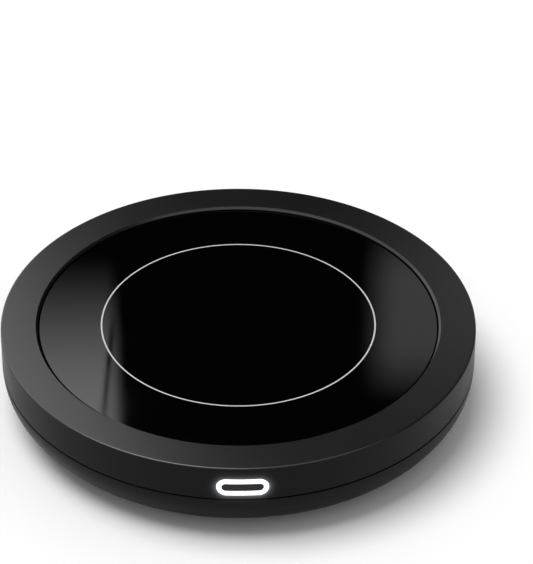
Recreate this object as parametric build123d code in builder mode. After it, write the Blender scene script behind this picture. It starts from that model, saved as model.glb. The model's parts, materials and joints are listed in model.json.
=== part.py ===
"""Electric mug warmer: a low round housing with a spring-borne heated glass plate in its top
and a lit push button in the front of its side band.

Millimetres, +Z up. The origin is the middle of the underside of the four feet, the button
faces -Y and the cord gland faces +Y.
"""

from math import acos, cos, degrees, radians, sin
import os

from build123d import *

# ---------------------------------------------------------------- housing
foot_lift = 1.2            # gap that the feet keep under the housing
wall = 2.2                 # floor and side walls of both housings
top_thickness = 2.4        # flat ring round the plate
edge_rounding = 0.45       # top outer edge
rim_chamfer = 0.58         # inner edge of the top ring
seam_gap = 0.4             # shadow line between the housings
seam_depth = 1.1
seam_land = 0.2            # straight lip over the bowl's curve
lap_height = 2.0           # upstand of the lower housing inside the upper one
lap_thickness = 1.1
lap_clearance = 0.2
skirt_thickness = 1.2      # collar of the upper housing round the glass
skirt_depth = 2.6
rib_thickness = 1.2
rib_depth = 2.2

# ---------------------------------------------------------------- plate
zone_radius = 37.46        # printed circle round the heated zone
zone_line = 0.4
zone_depth = 0.1
glass_thickness = 3.2
glass_bevel = 0.3
plate_gap = 0.3            # open gap round the glass
plate_recess = 0.9         # glass below the top ring when nothing stands on it
plate_travel = 0.5
seal_thickness = 0.4
seal_width = 3.0
seal_inset = 1.1
spreader_margin = 1.44     # heat spreader outside the printed circle
spreader_thickness = 1.5
film_thickness = 0.5
film_margin = 1.0
pad_thickness = 1.2
clamp_thickness = 0.8
clamp_ear_width = 9.0
carrier_thickness = 1.6
carrier_gap = 0.35         # carrier inside the glass edge
carrier_bore_gap = 0.4     # carrier round the heat spreader
carrier_skirt = 1.8
carrier_skirt_depth = 3.1

# ---------------------------------------------------------------- guides, springs and feet
foot_radius = 7.0
foot_socket = 0.8          # depth of the foot in the housing
foot_inset = 0.9
socket_clearance = 0.1
post_radius = 2.5
guide_clearance = 0.1      # running fit of the posts
guide_wall = 1.6
guide_base_radius = 5.5
guide_base_rise = 2.0
ledge_rise = 2.0           # stop for the washer heads, over the floor
spring_length = 6.5
spring_wire = 0.7
spring_clearance = 0.45
spring_rim_gap = 0.45      # between a spring and the rim round the heat spreader
washer_radius = 3.5
washer_thickness = 0.8
washer_clearance = 0.3

# ---------------------------------------------------------------- screws
head_radius = 2.4
head_height = 1.9
shank_radius = 1.25
shank_clearance = 0.2
carrier_shank_length = 7.0
housing_shank_length = 10.5
board_shank_length = 3.4
clamp_shank_length = 2.4
recess_width = 0.8         # cross recess in every head
recess_length = 3.1
recess_depth = 1.0
boss_wall = 1.55
counterbore_wall = 1.0
seat_depth = 4.3           # head seat under the joint of the screw bosses
boss_drop = 2.0            # joint of the screw bosses under the seam

# ---------------------------------------------------------------- button
button_width = 13.6
button_height = 5.2
cap_width = 10.8           # dark middle of the button
cap_height = 2.0
button_clearance = 0.15
button_travel = 0.5
flange_overhang = 0.9
flange_margin = 0.35
flange_thickness = 1.4
flange_gap = 0.2
retainer_overhang = 0.8    # plate of the cap behind the light ring
retainer_thickness = 0.3
stem_radius = 1.3
stem_length = 0.55
contact_gap = 0.05         # between a plunger and what presses it
push_plunger_radius = 1.5
push_plunger_reach = 1.0
push_plunger_depth = 0.8   # part of the plunger inside its switch
push_switch_depth = 2.0
push_switch_width = 6.2
push_switch_height = 5.0
plunger_clearance = 0.1
switch_board_thickness = 1.2
switch_board_half_length = 11.0
switch_board_margin = 0.2  # over and under the board
switch_board_gap = 0.35    # between the board and the collar
rail_width = 2.4
rail_overlap = 1.0         # board inside its rails
rail_lip = 1.2
light_offset = 5.6
light_length = 2.0
light_height = 1.6
light_depth = 0.8
stop_width = 2.0           # posts of the lower housing under the board

# ---------------------------------------------------------------- control board
board_standoff = 2.6
board_thickness = 1.6
board_screw_inset = 3.3
cell_gap_x = 4.0
cell_gap_y = 2.0
cell_depth = 8.0
board_end_margin = 7.0
board_side_margin = 4.0
plate_headroom = 1.8       # air between the tallest part and the plate
x_capacitor_length = 15.0
x_capacitor_width = 6.5
x_capacitor_height = 6.2
weight_switch_length = 12.8
weight_switch_width = 5.8
weight_switch_height = 6.5
weight_plunger_radius = 0.9
weight_plunger_depth = 1.4
weight_plunger_offset = 2.6
terminal_length = 13.0
terminal_width = 7.6
terminal_height = 6.3
terminal_mouth_radius = 1.6
terminal_mouth_rise = 2.4
terminal_screw_radius = 1.75
terminal_screw_depth = 1.0
fuse_radius = 2.4
fuse_length = 13.0
fuse_cap_length = 2.6
fuse_cap_step = 0.2
varistor_radius = 3.7
varistor_thickness = 3.2
choke_radius = 3.6
choke_waist_radius = 2.6
choke_height = 5.4
choke_flange = 1.0
bridge_length = 8.4
bridge_width = 6.4
bridge_height = 2.6
smoothing_radius = 3.0
smoothing_length = 12.0
triac_length = 9.6
triac_width = 6.6
triac_tab_width = 5.3
triac_height = 2.3
controller_length = 10.0
controller_width = 3.9
controller_height = 1.5
controller_lift = 0.2
chip_length = 2.0
chip_width = 1.25
chip_height = 0.6
chip_pitch = 3.0
chip_count = 4
socket_wall = 0.8
heater_socket_length = 8.0
button_socket_length = 8.0
sensor_socket_length = 5.0
socket_width = 5.6
socket_height = 5.0
socket_gap = 1.5
pin_width = 0.5

# ---------------------------------------------------------------- wires and sensors
heater_wire_radius = 0.8
heater_wire_pitch = 4.0
sensor_wire_radius = 0.4
sensor_wire_pitch = 1.4
button_wire_radius = 0.5
button_wire_pitch = 1.5
button_wire_count = 4
wire_hole_clearance = 0.6
sensor_radius = 1.5
sensor_drop = 1.3          # sensor below the clamp plate
sensor_clearance = 0.3
cutoff_radius = 2.0
cutoff_length = 11.0
clip_thickness = 0.5
clip_width = 5.0
clip_ear = 3.0
rivet_head_radius = 1.2
rivet_head_height = 0.3

# ---------------------------------------------------------------- rear gland and underside
gland_bore_radius = 2.6
gland_body_radius = 3.4
gland_flange_radius = 4.4
gland_flange_thickness = 1.2
gland_lip_radius = 3.9
gland_lip_thickness = 1.4
gland_lip_clearance = 0.6
gland_pad_radius = 5.0
gland_pad_depth = 4.0
gland_pad_margin = 0.3     # flat cut round the pad
vent_rows = 3
vent_first_radius = 30.0
vent_pitch = 4.0
vent_width = 1.8
vent_half_angle = 18.0
label_length = 44.0
label_width = 22.0
label_thickness = 0.2
label_corner = 2.0

# ---------------------------------------------------------------- heights, from the feet up
floor_z = foot_lift + wall
board_z = floor_z + board_standoff
parts_z = board_z + board_thickness
tallest_part = max(weight_switch_height, x_capacitor_height, terminal_height,
                   2 * smoothing_radius, 2 * fuse_radius, choke_height, socket_height)
clamp_z = parts_z + tallest_part + plate_headroom
pad_z = clamp_z + clamp_thickness
film_z = pad_z + pad_thickness
spreader_z = film_z + film_thickness
glass_z = spreader_z + spreader_thickness
glass_top_z = glass_z + glass_thickness
top_z = glass_top_z + plate_recess
carrier_top_z = glass_z - seal_thickness
carrier_z = carrier_top_z - carrier_thickness
guide_top_z = carrier_z - spring_length
ledge_z = floor_z + ledge_rise
rail_height = button_height + 2 * (flange_overhang + flange_margin)
band_height = top_thickness + rail_height
band_z = top_z - band_height
seam_z = band_z - seam_gap
button_z = band_z + flange_margin + flange_overhang + button_height / 2
boss_joint_z = seam_z - boss_drop
screw_seat_z = boss_joint_z - seat_depth
bowl_curve = seam_z - seam_land - foot_lift
gland_z = seam_z - lap_clearance - gland_pad_margin - gland_pad_radius
curve_z = foot_lift + bowl_curve
stop_top_z = top_z - top_thickness - rail_height + switch_board_margin
switch_top_z = parts_z + weight_switch_height
socket_top_z = parts_z + socket_height

# ---------------------------------------------------------------- radii, from the heater out to the band
spreader_radius = zone_radius + spreader_margin
carrier_bore_radius = spreader_radius + carrier_bore_gap
carrier_rim_radius = carrier_bore_radius + carrier_thickness
spring_inner_radius = post_radius + spring_clearance
spring_radius = spring_inner_radius + spring_wire
guide_circle = carrier_rim_radius + spring_rim_gap + spring_radius
guide_bore_radius = post_radius + guide_clearance
guide_radius = guide_bore_radius + guide_wall
counterbore_radius = washer_radius + washer_clearance
flat_radius = guide_circle + foot_radius + foot_inset
inner_curve = bowl_curve - wall
outer_radius = flat_radius + bowl_curve
wall_radius = outer_radius - wall
lap_radius = wall_radius - lap_clearance
lap_inner_radius = lap_radius - lap_thickness
lap_angle = degrees(acos((lap_inner_radius - flat_radius) / inner_curve))
boss_radius = shank_radius + boss_wall
boss_circle = lap_inner_radius - lap_clearance - boss_radius
socket_radius = head_radius + shank_clearance
pad_y = outer_radius - gland_flange_thickness

# ---------------------------------------------------------------- the button's chain, from the band in
flange_radius = wall_radius - flange_gap
flange_y = flange_radius - flange_thickness
push_tip_y = flange_y - stem_length - contact_gap
push_face_y = push_tip_y - push_plunger_reach
push_switch_y = push_face_y - push_switch_depth
switch_board_y = push_switch_y - switch_board_thickness
skirt_radius = switch_board_y - switch_board_gap
opening_radius = skirt_radius - skirt_thickness
glass_radius = opening_radius - plate_gap
carrier_radius = glass_radius - carrier_gap
rail_x = switch_board_half_length - rail_overlap + rail_width / 2
stop_x = switch_board_half_length - rail_overlap - stop_width

# ---------------------------------------------------------------- control board layout
cell_pitch_x = max(x_capacitor_length, weight_switch_length, terminal_length,
                   fuse_length, smoothing_length) + cell_gap_x
cell_pitch_y = cell_depth + cell_gap_y
board_length = 3 * cell_pitch_x - cell_gap_x + 2 * board_end_margin
board_width = 4 * cell_pitch_y - cell_gap_y + 2 * board_side_margin
board_screw_x = board_length / 2 - board_screw_inset
board_screw_y = board_width / 2 - board_screw_inset
front_y = -1.5 * cell_pitch_y
middle_front_y = -0.5 * cell_pitch_y
middle_rear_y = 0.5 * cell_pitch_y
rear_y = 1.5 * cell_pitch_y
button_socket_x = -(sensor_socket_length + socket_gap) / 2
sensor_socket_x = (button_socket_length + socket_gap) / 2
cutoff_y = (front_y + middle_front_y) / 2

# ---------------------------------------------------------------- directions
hanging = (Align.CENTER, Align.CENTER, Align.MAX)
standing = (Align.CENTER, Align.CENTER, Align.MIN)
quarter_angles = (45, 135, 225, 315)
front_plane = Plane(origin=(0, 0, button_z), x_dir=(1, 0, 0), z_dir=(0, -1, 0))
gland_plane = Plane(origin=(0, 0, gland_z), x_dir=(-1, 0, 0), z_dir=(0, 1, 0))


def ring_of_points(radius, angles, z=0.0):
    """Points on a circle round the Z axis."""
    return [(radius * cos(radians(a)), radius * sin(radians(a)), z) for a in angles]


def upward_screws(points, head, height, shank, length):
    """Screws driven upward: each head hangs below its point and the shank stands on it."""
    with Locations(*points):
        Cylinder(head, height, align=hanging)
        Cylinder(shank, length, align=standing)
    with Locations(*[(x, y, z - height) for x, y, z in points]):
        Box(recess_length, recess_width, recess_depth, align=standing, mode=Mode.SUBTRACT)
        Box(recess_width, recess_length, recess_depth, align=standing, mode=Mode.SUBTRACT)


guide_spots = ring_of_points(guide_circle, quarter_angles)
boss_spots = ring_of_points(boss_circle, quarter_angles)
ear_spots = ring_of_points(guide_circle, (0, 90, 180, 270))
board_spots = [(x, y) for x in (-board_screw_x, board_screw_x)
               for y in (-board_screw_y, board_screw_y)]

# ================================================================ housings
with BuildPart() as upper_housing:
    with BuildSketch(Plane.XZ):
        with BuildLine():
            Polyline(
                (wall_radius, top_z - top_thickness),
                (wall_radius, seam_z),
                (outer_radius - seam_depth, seam_z),
                (outer_radius - seam_depth, band_z),
                (outer_radius, band_z),
                (outer_radius, top_z - edge_rounding),
            )
            RadiusArc(
                (outer_radius, top_z - edge_rounding),
                (outer_radius - edge_rounding, top_z),
                -edge_rounding,
            )
            Polyline(
                (outer_radius - edge_rounding, top_z),
                (opening_radius + rim_chamfer, top_z),
                (opening_radius, top_z - rim_chamfer),
                (opening_radius, top_z - top_thickness - skirt_depth),
                (skirt_radius, top_z - top_thickness - skirt_depth),
                (skirt_radius, top_z - top_thickness),
                (wall_radius, top_z - top_thickness),
            )
        make_face()
    revolve(axis=Axis.Z)
    # Screw bosses hang from the top ring.
    with Locations(*[(x, y, top_z - top_thickness) for x, y, z in boss_spots]):
        Cylinder(boss_radius, top_z - top_thickness - boss_joint_z, align=hanging)
    with Locations(*[(x, y, boss_joint_z) for x, y, z in boss_spots]):
        Cylinder(shank_radius, housing_shank_length - seat_depth, align=standing, mode=Mode.SUBTRACT)
    # Ribs tie the collar to the side band.
    rib_angles = [side + step for side in (0, 90, 180) for step in (-22, 0, 22)] + [245, 295]
    rib_middle = (skirt_radius + wall_radius) / 2
    for angle in rib_angles:
        rib_spot = ring_of_points(rib_middle, (angle,), top_z - top_thickness)[0]
        with Locations(Location(rib_spot, (0, 0, angle))):
            Box(wall_radius - skirt_radius + wall / 2, rib_thickness, rib_depth, align=hanging)
    # Grooved rails hold the switch board behind the button.
    with Locations(*[(side * rail_x, -(switch_board_y - rail_lip), top_z - top_thickness)
                     for side in (-1, 1)]):
        Box(rail_width, wall_radius - switch_board_y + rail_lip, rail_height,
            align=(Align.CENTER, Align.MAX, Align.MAX))
    with Locations((0, -switch_board_y, top_z - top_thickness)):
        Box(2 * switch_board_half_length, switch_board_thickness, rail_height,
            align=(Align.CENTER, Align.MAX, Align.MAX), mode=Mode.SUBTRACT)
    # Button hole through the side band.
    with BuildSketch(front_plane.offset(flange_y)):
        SlotOverall(button_width + 2 * button_clearance, button_height + 2 * button_clearance)
    extrude(amount=outer_radius - flange_y, mode=Mode.SUBTRACT)

with BuildPart() as lower_housing:
    with BuildSketch(Plane.XZ):
        with BuildLine():
            Line((0, foot_lift), (flat_radius, foot_lift))
            CenterArc((flat_radius, curve_z), bowl_curve, 270, 90)
            Polyline(
                (outer_radius, curve_z),
                (outer_radius, seam_z),
                (lap_radius, seam_z),
                (lap_radius, seam_z + lap_height),
                (lap_inner_radius, seam_z + lap_height),
                (lap_inner_radius, curve_z - inner_curve * sin(radians(lap_angle))),
            )
            CenterArc((flat_radius, curve_z), inner_curve, 270, 90 - lap_angle)
            Polyline((flat_radius, floor_z), (0, floor_z), (0, foot_lift))
        make_face()
    revolve(axis=Axis.Z)
    # Bosses for the guide posts, the housing screws and the control board.
    with Locations(*[(x, y, foot_lift) for x, y, z in guide_spots]):
        Cylinder(guide_base_radius, ledge_z + guide_base_rise - foot_lift, align=standing)
        Cylinder(guide_radius, guide_top_z - foot_lift, align=standing)
    with Locations(*[(x, y, foot_lift) for x, y, z in boss_spots]):
        Cylinder(socket_radius + counterbore_wall, boss_joint_z - foot_lift, align=standing)
    with Locations(*[(x, y, foot_lift) for x, y in board_spots]):
        Cylinder(boss_radius, board_z - foot_lift, align=standing)
    # Webs between each guide and its screw boss.
    web_middle = (guide_circle + boss_circle) / 2
    for angle in quarter_angles:
        web_spot = ring_of_points(web_middle, (angle,), foot_lift)[0]
        with Locations(Location(web_spot, (0, 0, angle))):
            Box(boss_circle - guide_circle - guide_radius, rib_thickness,
                ledge_z + guide_base_rise - foot_lift, align=standing)
    # Posts that carry the switch board.
    with Locations(*[(side * stop_x, -switch_board_y, foot_lift) for side in (-1, 1)]):
        Box(stop_width, switch_board_thickness, stop_top_z - foot_lift,
            align=(Align.CENTER, Align.MAX, Align.MIN))
    # Nothing stands out of the bowl's outer shape.
    with BuildSketch(Plane.XZ):
        with BuildLine():
            Line((0, foot_lift), (flat_radius, foot_lift))
            CenterArc((flat_radius, curve_z), bowl_curve, 270, 90)
            Polyline((outer_radius, curve_z), (outer_radius, seam_z), (lap_radius, seam_z),
                     (lap_radius, top_z), (0, top_z), (0, foot_lift))
        make_face()
    revolve(axis=Axis.Z, mode=Mode.INTERSECT)
    # Flat pad round the cord gland.
    with BuildSketch(gland_plane.offset(pad_y - gland_pad_depth)):
        Circle(gland_pad_radius)
    extrude(amount=gland_pad_depth)
    with BuildSketch(gland_plane.offset(pad_y - 2 * gland_pad_depth)):
        Circle(gland_body_radius)
    extrude(amount=3 * gland_pad_depth, mode=Mode.SUBTRACT)
    with BuildSketch(gland_plane.offset(pad_y - 2 * gland_pad_depth)):
        Circle(gland_lip_radius + gland_lip_clearance)
    extrude(amount=gland_pad_depth, mode=Mode.SUBTRACT)
    with BuildSketch(gland_plane.offset(pad_y)):
        Circle(gland_pad_radius + gland_pad_margin)
    extrude(amount=2 * gland_flange_thickness, mode=Mode.SUBTRACT)
    # Opening in the upstand for the button and the board rails.
    notch_half_width = rail_x + rail_width / 2 + lap_clearance
    with Locations((0, -outer_radius, seam_z)):
        Box(2 * notch_half_width, 2 * (outer_radius - skirt_radius), lap_height,
            align=standing, mode=Mode.SUBTRACT)
    with Locations(*[(side * stop_x, -switch_board_y, seam_z) for side in (-1, 1)]):
        Box(stop_width, switch_board_thickness, stop_top_z - seam_z,
            align=(Align.CENTER, Align.MAX, Align.MIN))
    # Bores and counterbores from below.
    with Locations(*[(x, y, foot_lift) for x, y, z in guide_spots]):
        Cylinder(foot_radius + socket_clearance, foot_socket, align=standing, mode=Mode.SUBTRACT)
        Cylinder(counterbore_radius, ledge_z - foot_lift, align=standing, mode=Mode.SUBTRACT)
        Cylinder(guide_bore_radius, guide_top_z - foot_lift, align=standing, mode=Mode.SUBTRACT)
    with Locations(*[(x, y, foot_lift) for x, y, z in boss_spots]):
        Cylinder(socket_radius, screw_seat_z - foot_lift, align=standing, mode=Mode.SUBTRACT)
        Cylinder(shank_radius + shank_clearance, boss_joint_z - foot_lift, align=standing,
                 mode=Mode.SUBTRACT)
    with Locations(*[(x, y, board_z) for x, y in board_spots]):
        Cylinder(shank_radius, board_shank_length - board_thickness, align=hanging,
                 mode=Mode.SUBTRACT)
    # Vent slots and the recess for the rating label.
    with BuildSketch(Plane.XY.offset(foot_lift)):
        for side in (0, 90, 180, 270):
            for row in range(vent_rows):
                radius = vent_first_radius + row * vent_pitch
                SlotArc(Edge.make_circle(radius, start_angle=side - vent_half_angle,
                                         end_angle=side + vent_half_angle), vent_width)
    extrude(amount=wall, mode=Mode.SUBTRACT)
    with BuildSketch(Plane.XY.offset(foot_lift)):
        RectangleRounded(label_length, label_width, label_corner)
    extrude(amount=label_thickness, mode=Mode.SUBTRACT)

with BuildPart() as housing_screws:
    upward_screws([(x, y, screw_seat_z) for x, y, z in boss_spots],
                  head_radius, head_height, shank_radius, housing_shank_length)

with BuildPart() as rubber_feet:
    with Locations(*guide_spots):
        Cylinder(foot_radius, foot_lift + foot_socket, align=standing)
    foot_rims = rubber_feet.edges().filter_by(GeomType.CIRCLE).group_by(Axis.Z)[0]
    chamfer(foot_rims, foot_lift / 4)

with BuildPart() as rating_label:
    with BuildSketch(Plane.XY.offset(foot_lift)):
        RectangleRounded(label_length - 2 * socket_clearance, label_width - 2 * socket_clearance,
                         label_corner)
    extrude(amount=label_thickness)

with BuildPart() as cord_gland:
    with BuildSketch(gland_plane.offset(pad_y)):
        Circle(gland_flange_radius)
    extrude(amount=gland_flange_thickness)
    with BuildSketch(gland_plane.offset(pad_y - gland_pad_depth)):
        Circle(gland_body_radius)
    extrude(amount=gland_pad_depth)
    with BuildSketch(gland_plane.offset(pad_y - gland_pad_depth - gland_lip_thickness)):
        Circle(gland_lip_radius)
    extrude(amount=gland_lip_thickness)
    with BuildSketch(gland_plane.offset(pad_y - gland_pad_depth - gland_lip_thickness)):
        Circle(gland_bore_radius)
    extrude(amount=gland_lip_thickness + gland_pad_depth + gland_flange_thickness,
            mode=Mode.SUBTRACT)

# ================================================================ floating plate
with BuildPart() as glass_plate:
    with Locations((0, 0, glass_z)):
        Cylinder(glass_radius, glass_thickness, align=standing)
    chamfer(glass_plate.edges().filter_by(GeomType.CIRCLE).group_by(Axis.Z)[-1], glass_bevel)
    with BuildSketch(Plane.XY.offset(glass_top_z - zone_depth)):
        Circle(zone_radius + zone_line / 2)
        Circle(zone_radius - zone_line / 2, mode=Mode.SUBTRACT)
    extrude(amount=zone_depth, mode=Mode.SUBTRACT)

with BuildPart() as zone_ring:
    with BuildSketch(Plane.XY.offset(glass_top_z - zone_depth)):
        Circle(zone_radius + zone_line / 2)
        Circle(zone_radius - zone_line / 2, mode=Mode.SUBTRACT)
    extrude(amount=zone_depth)

with BuildPart() as glass_seal:
    with BuildSketch(Plane.XY.offset(carrier_top_z)):
        Circle(glass_radius - seal_inset)
        Circle(glass_radius - seal_inset - seal_width, mode=Mode.SUBTRACT)
    extrude(amount=seal_thickness)

with BuildPart() as heat_spreader:
    with Locations((0, 0, spreader_z)):
        Cylinder(spreader_radius, spreader_thickness, align=standing)

with BuildPart() as heater_film:
    with Locations((0, 0, film_z)):
        Cylinder(spreader_radius - film_margin, film_thickness, align=standing)

wire_slot_length = heater_wire_pitch + 2 * (heater_wire_radius + wire_hole_clearance)
wire_slot_width = 2 * (heater_wire_radius + wire_hole_clearance)

with BuildPart() as insulation_pad:
    with BuildSketch(Plane.XY.offset(pad_z)):
        Circle(spreader_radius)
        with Locations((-cell_pitch_x, front_y)):
            SlotOverall(wire_slot_length, wire_slot_width, mode=Mode.SUBTRACT)
        with Locations((sensor_socket_x, front_y)):
            Circle(sensor_radius + sensor_clearance, mode=Mode.SUBTRACT)
    extrude(amount=pad_thickness)

with BuildPart() as clamp_plate:
    with BuildSketch(Plane.XY.offset(clamp_z)):
        Circle(carrier_rim_radius)
        ear_length = guide_circle + clamp_ear_width / 2
        for side in (0, 90):
            with Locations(Location((0, 0), side)):
                SlotOverall(2 * ear_length, clamp_ear_width)
        with Locations(*[(x, y) for x, y, z in ear_spots]):
            Circle(shank_radius + shank_clearance, mode=Mode.SUBTRACT)
        with Locations((-cell_pitch_x, front_y)):
            SlotOverall(wire_slot_length, wire_slot_width, mode=Mode.SUBTRACT)
        with Locations((sensor_socket_x, front_y)):
            Circle(sensor_radius + sensor_clearance, mode=Mode.SUBTRACT)
    extrude(amount=clamp_thickness)

with BuildPart() as plate_carrier:
    with BuildSketch(Plane.XY.offset(carrier_z)):
        Circle(carrier_radius)
        Circle(carrier_bore_radius, mode=Mode.SUBTRACT)
    extrude(amount=carrier_thickness)
    with BuildSketch(Plane.XY.offset(carrier_top_z - carrier_skirt_depth)):
        Circle(carrier_radius)
        Circle(carrier_radius - carrier_skirt, mode=Mode.SUBTRACT)
    extrude(amount=carrier_skirt_depth)
    with BuildSketch(Plane.XY.offset(pad_z)):
        Circle(carrier_rim_radius)
        Circle(carrier_bore_radius, mode=Mode.SUBTRACT)
    extrude(amount=carrier_z - pad_z)
    with Locations(*[(x, y, pad_z) for x, y, z in ear_spots]):
        Cylinder(boss_radius, carrier_z - pad_z, align=standing)
        Cylinder(shank_radius, clamp_shank_length - clamp_thickness, align=standing,
                 mode=Mode.SUBTRACT)
    # Guide posts, bored for the screws that stop the plate's upward travel.
    with Locations(*[(x, y, ledge_z) for x, y, z in guide_spots]):
        Cylinder(post_radius, carrier_z - ledge_z, align=standing)
        Cylinder(shank_radius, carrier_shank_length, align=standing, mode=Mode.SUBTRACT)

with BuildPart() as carrier_screws:
    with Locations(*[(x, y, ledge_z) for x, y, z in guide_spots]):
        Cylinder(washer_radius, washer_thickness, align=hanging)
    upward_screws([(x, y, ledge_z - washer_thickness) for x, y, z in guide_spots],
                  head_radius, recess_depth + washer_thickness / 2, shank_radius,
                  carrier_shank_length + washer_thickness)

with BuildPart() as clamp_screws:
    upward_screws([(x, y, clamp_z) for x, y, z in ear_spots],
                  head_radius, recess_depth + recess_width / 2, shank_radius, clamp_shank_length)

with BuildPart() as return_springs:
    with Locations(*[(x, y, guide_top_z) for x, y, z in guide_spots]):
        Cylinder(spring_radius, spring_length, align=standing)
        Cylinder(spring_inner_radius, spring_length, align=standing, mode=Mode.SUBTRACT)

with BuildPart() as temperature_sensor:
    with Locations((sensor_socket_x, front_y, clamp_z - sensor_drop)):
        Cylinder(sensor_radius, film_z - clamp_z + sensor_drop, align=standing)

with BuildPart() as thermal_cutoff:
    with Locations(Location((cell_pitch_x, cutoff_y, clamp_z - cutoff_radius), (0, 90, 0))):
        Cylinder(cutoff_radius, cutoff_length)

with BuildPart() as cutoff_clip:
    clip_radius = cutoff_radius + clip_thickness
    with BuildSketch(Plane(origin=(cell_pitch_x - clip_width / 2, cutoff_y, clamp_z),
                           x_dir=(0, 1, 0), z_dir=(1, 0, 0))):
        with Locations((0, -cutoff_radius)):
            Circle(clip_radius)
        Rectangle(2 * clip_radius, cutoff_radius, align=(Align.CENTER, Align.MAX))
        Rectangle(2 * (clip_radius + clip_ear), clip_thickness, align=(Align.CENTER, Align.MAX))
        Rectangle(2 * cutoff_radius, cutoff_radius, align=(Align.CENTER, Align.MAX),
                  mode=Mode.SUBTRACT)
        Rectangle(2 * clip_radius, clip_radius, align=(Align.CENTER, Align.MIN),
                  mode=Mode.SUBTRACT)
        with Locations((0, -cutoff_radius)):
            Circle(cutoff_radius, mode=Mode.SUBTRACT)
    extrude(amount=clip_width)
    with Locations(*[(cell_pitch_x, cutoff_y + side * (clip_radius + clip_ear / 2),
                      clamp_z - clip_thickness) for side in (-1, 1)]):
        Cylinder(rivet_head_radius, rivet_head_height, align=hanging)

# ================================================================ button
with BuildPart() as button_light_ring:
    with BuildSketch(front_plane.offset(flange_y)):
        SlotOverall(button_width + 2 * flange_overhang, button_height + 2 * flange_overhang)
    extrude(amount=2 * flange_thickness)
    with BuildSketch(Plane.XY):
        Circle(flange_radius)
    extrude(amount=top_z, mode=Mode.INTERSECT)
    with BuildSketch(front_plane.offset(flange_y)):
        SlotOverall(button_width, button_height)
    extrude(amount=outer_radius)
    with BuildSketch(Plane.XY):
        Circle(outer_radius)
    extrude(amount=top_z, mode=Mode.INTERSECT)
    with BuildSketch(front_plane.offset(flange_y)):
        SlotOverall(cap_width, cap_height)
    extrude(amount=outer_radius, mode=Mode.SUBTRACT)

with BuildPart() as button_cap:
    with BuildSketch(front_plane.offset(flange_y)):
        SlotOverall(cap_width, cap_height)
    extrude(amount=outer_radius)
    with BuildSketch(Plane.XY):
        Circle(outer_radius)
    extrude(amount=top_z, mode=Mode.INTERSECT)
    with BuildSketch(front_plane.offset(flange_y - retainer_thickness)):
        SlotOverall(cap_width + 2 * retainer_overhang, cap_height + 2 * retainer_overhang)
    extrude(amount=retainer_thickness)
    with BuildSketch(front_plane.offset(flange_y - stem_length)):
        Circle(stem_radius)
    extrude(amount=stem_length)

with BuildPart() as push_switch_plunger:
    with BuildSketch(front_plane.offset(push_face_y - push_plunger_depth)):
        Circle(push_plunger_radius)
    extrude(amount=push_plunger_depth + push_plunger_reach)

with BuildPart() as push_switch:
    with BuildSketch(front_plane.offset(push_switch_y)):
        Rectangle(push_switch_width, push_switch_height)
    extrude(amount=push_switch_depth)
    bore_depth = push_plunger_depth + button_travel + plunger_clearance
    with BuildSketch(front_plane.offset(push_face_y - bore_depth)):
        Circle(push_plunger_radius + plunger_clearance)
    extrude(amount=bore_depth, mode=Mode.SUBTRACT)

with BuildPart() as switch_board:
    with BuildSketch(front_plane.offset(switch_board_y)):
        Rectangle(2 * (switch_board_half_length - socket_clearance),
                  rail_height - 2 * switch_board_margin)
    extrude(amount=switch_board_thickness)

with BuildPart() as status_lights:
    with BuildSketch(front_plane.offset(push_switch_y)):
        with Locations((-light_offset, 0), (light_offset, 0)):
            Rectangle(light_length, light_height)
    extrude(amount=light_depth)

# ================================================================ control board
with BuildPart() as control_board:
    with BuildSketch(Plane.XY.offset(board_z)):
        RectangleRounded(board_length, board_width, label_corner)
        with Locations(*board_spots):
            Circle(shank_radius + shank_clearance, mode=Mode.SUBTRACT)
    extrude(amount=board_thickness)

with BuildPart() as board_screws:
    with Locations(*[(x, y, parts_z) for x, y in board_spots]):
        Cylinder(head_radius, head_height, align=standing)
        Cylinder(shank_radius, board_shank_length, align=hanging)
    with Locations(*[(x, y, parts_z + head_height) for x, y in board_spots]):
        Box(recess_length, recess_width, recess_depth, align=hanging, mode=Mode.SUBTRACT)
        Box(recess_width, recess_length, recess_depth, align=hanging, mode=Mode.SUBTRACT)

with BuildPart() as terminal_block:
    with Locations((0, rear_y, parts_z)):
        Box(terminal_length, terminal_width, terminal_height, align=standing)
    # Two wire mouths face the gland, each under its clamping screw.
    with BuildSketch(gland_plane.offset(rear_y)):
        with Locations(*[(side * terminal_length / 4, parts_z + terminal_mouth_rise - gland_z)
                         for side in (-1, 1)]):
            Circle(terminal_mouth_radius)
    extrude(amount=terminal_width, mode=Mode.SUBTRACT)
    with Locations(*[(side * terminal_length / 4, rear_y, parts_z + terminal_height)
                     for side in (-1, 1)]):
        Cylinder(terminal_screw_radius, terminal_screw_depth, align=hanging, mode=Mode.SUBTRACT)

with BuildPart() as fuse:
    with BuildSketch(Plane(origin=(-cell_pitch_x - fuse_length / 2, rear_y, parts_z + fuse_radius),
                           x_dir=(0, 1, 0), z_dir=(1, 0, 0))):
        Circle(fuse_radius)
    extrude(amount=fuse_length)
    with BuildSketch(Plane(origin=(-cell_pitch_x - fuse_length / 2 + fuse_cap_length, rear_y,
                                   parts_z + fuse_radius), x_dir=(0, 1, 0), z_dir=(1, 0, 0))):
        Circle(fuse_radius)
        Circle(fuse_radius - fuse_cap_step, mode=Mode.SUBTRACT)
    extrude(amount=fuse_length - 2 * fuse_cap_length, mode=Mode.SUBTRACT)

with BuildPart() as surge_varistor:
    with Locations((cell_pitch_x, rear_y, parts_z)):
        Cylinder(varistor_radius, varistor_thickness, align=standing)
    chamfer(surge_varistor.edges().filter_by(GeomType.CIRCLE).group_by(Axis.Z)[-1],
            varistor_thickness / 4)

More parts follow.
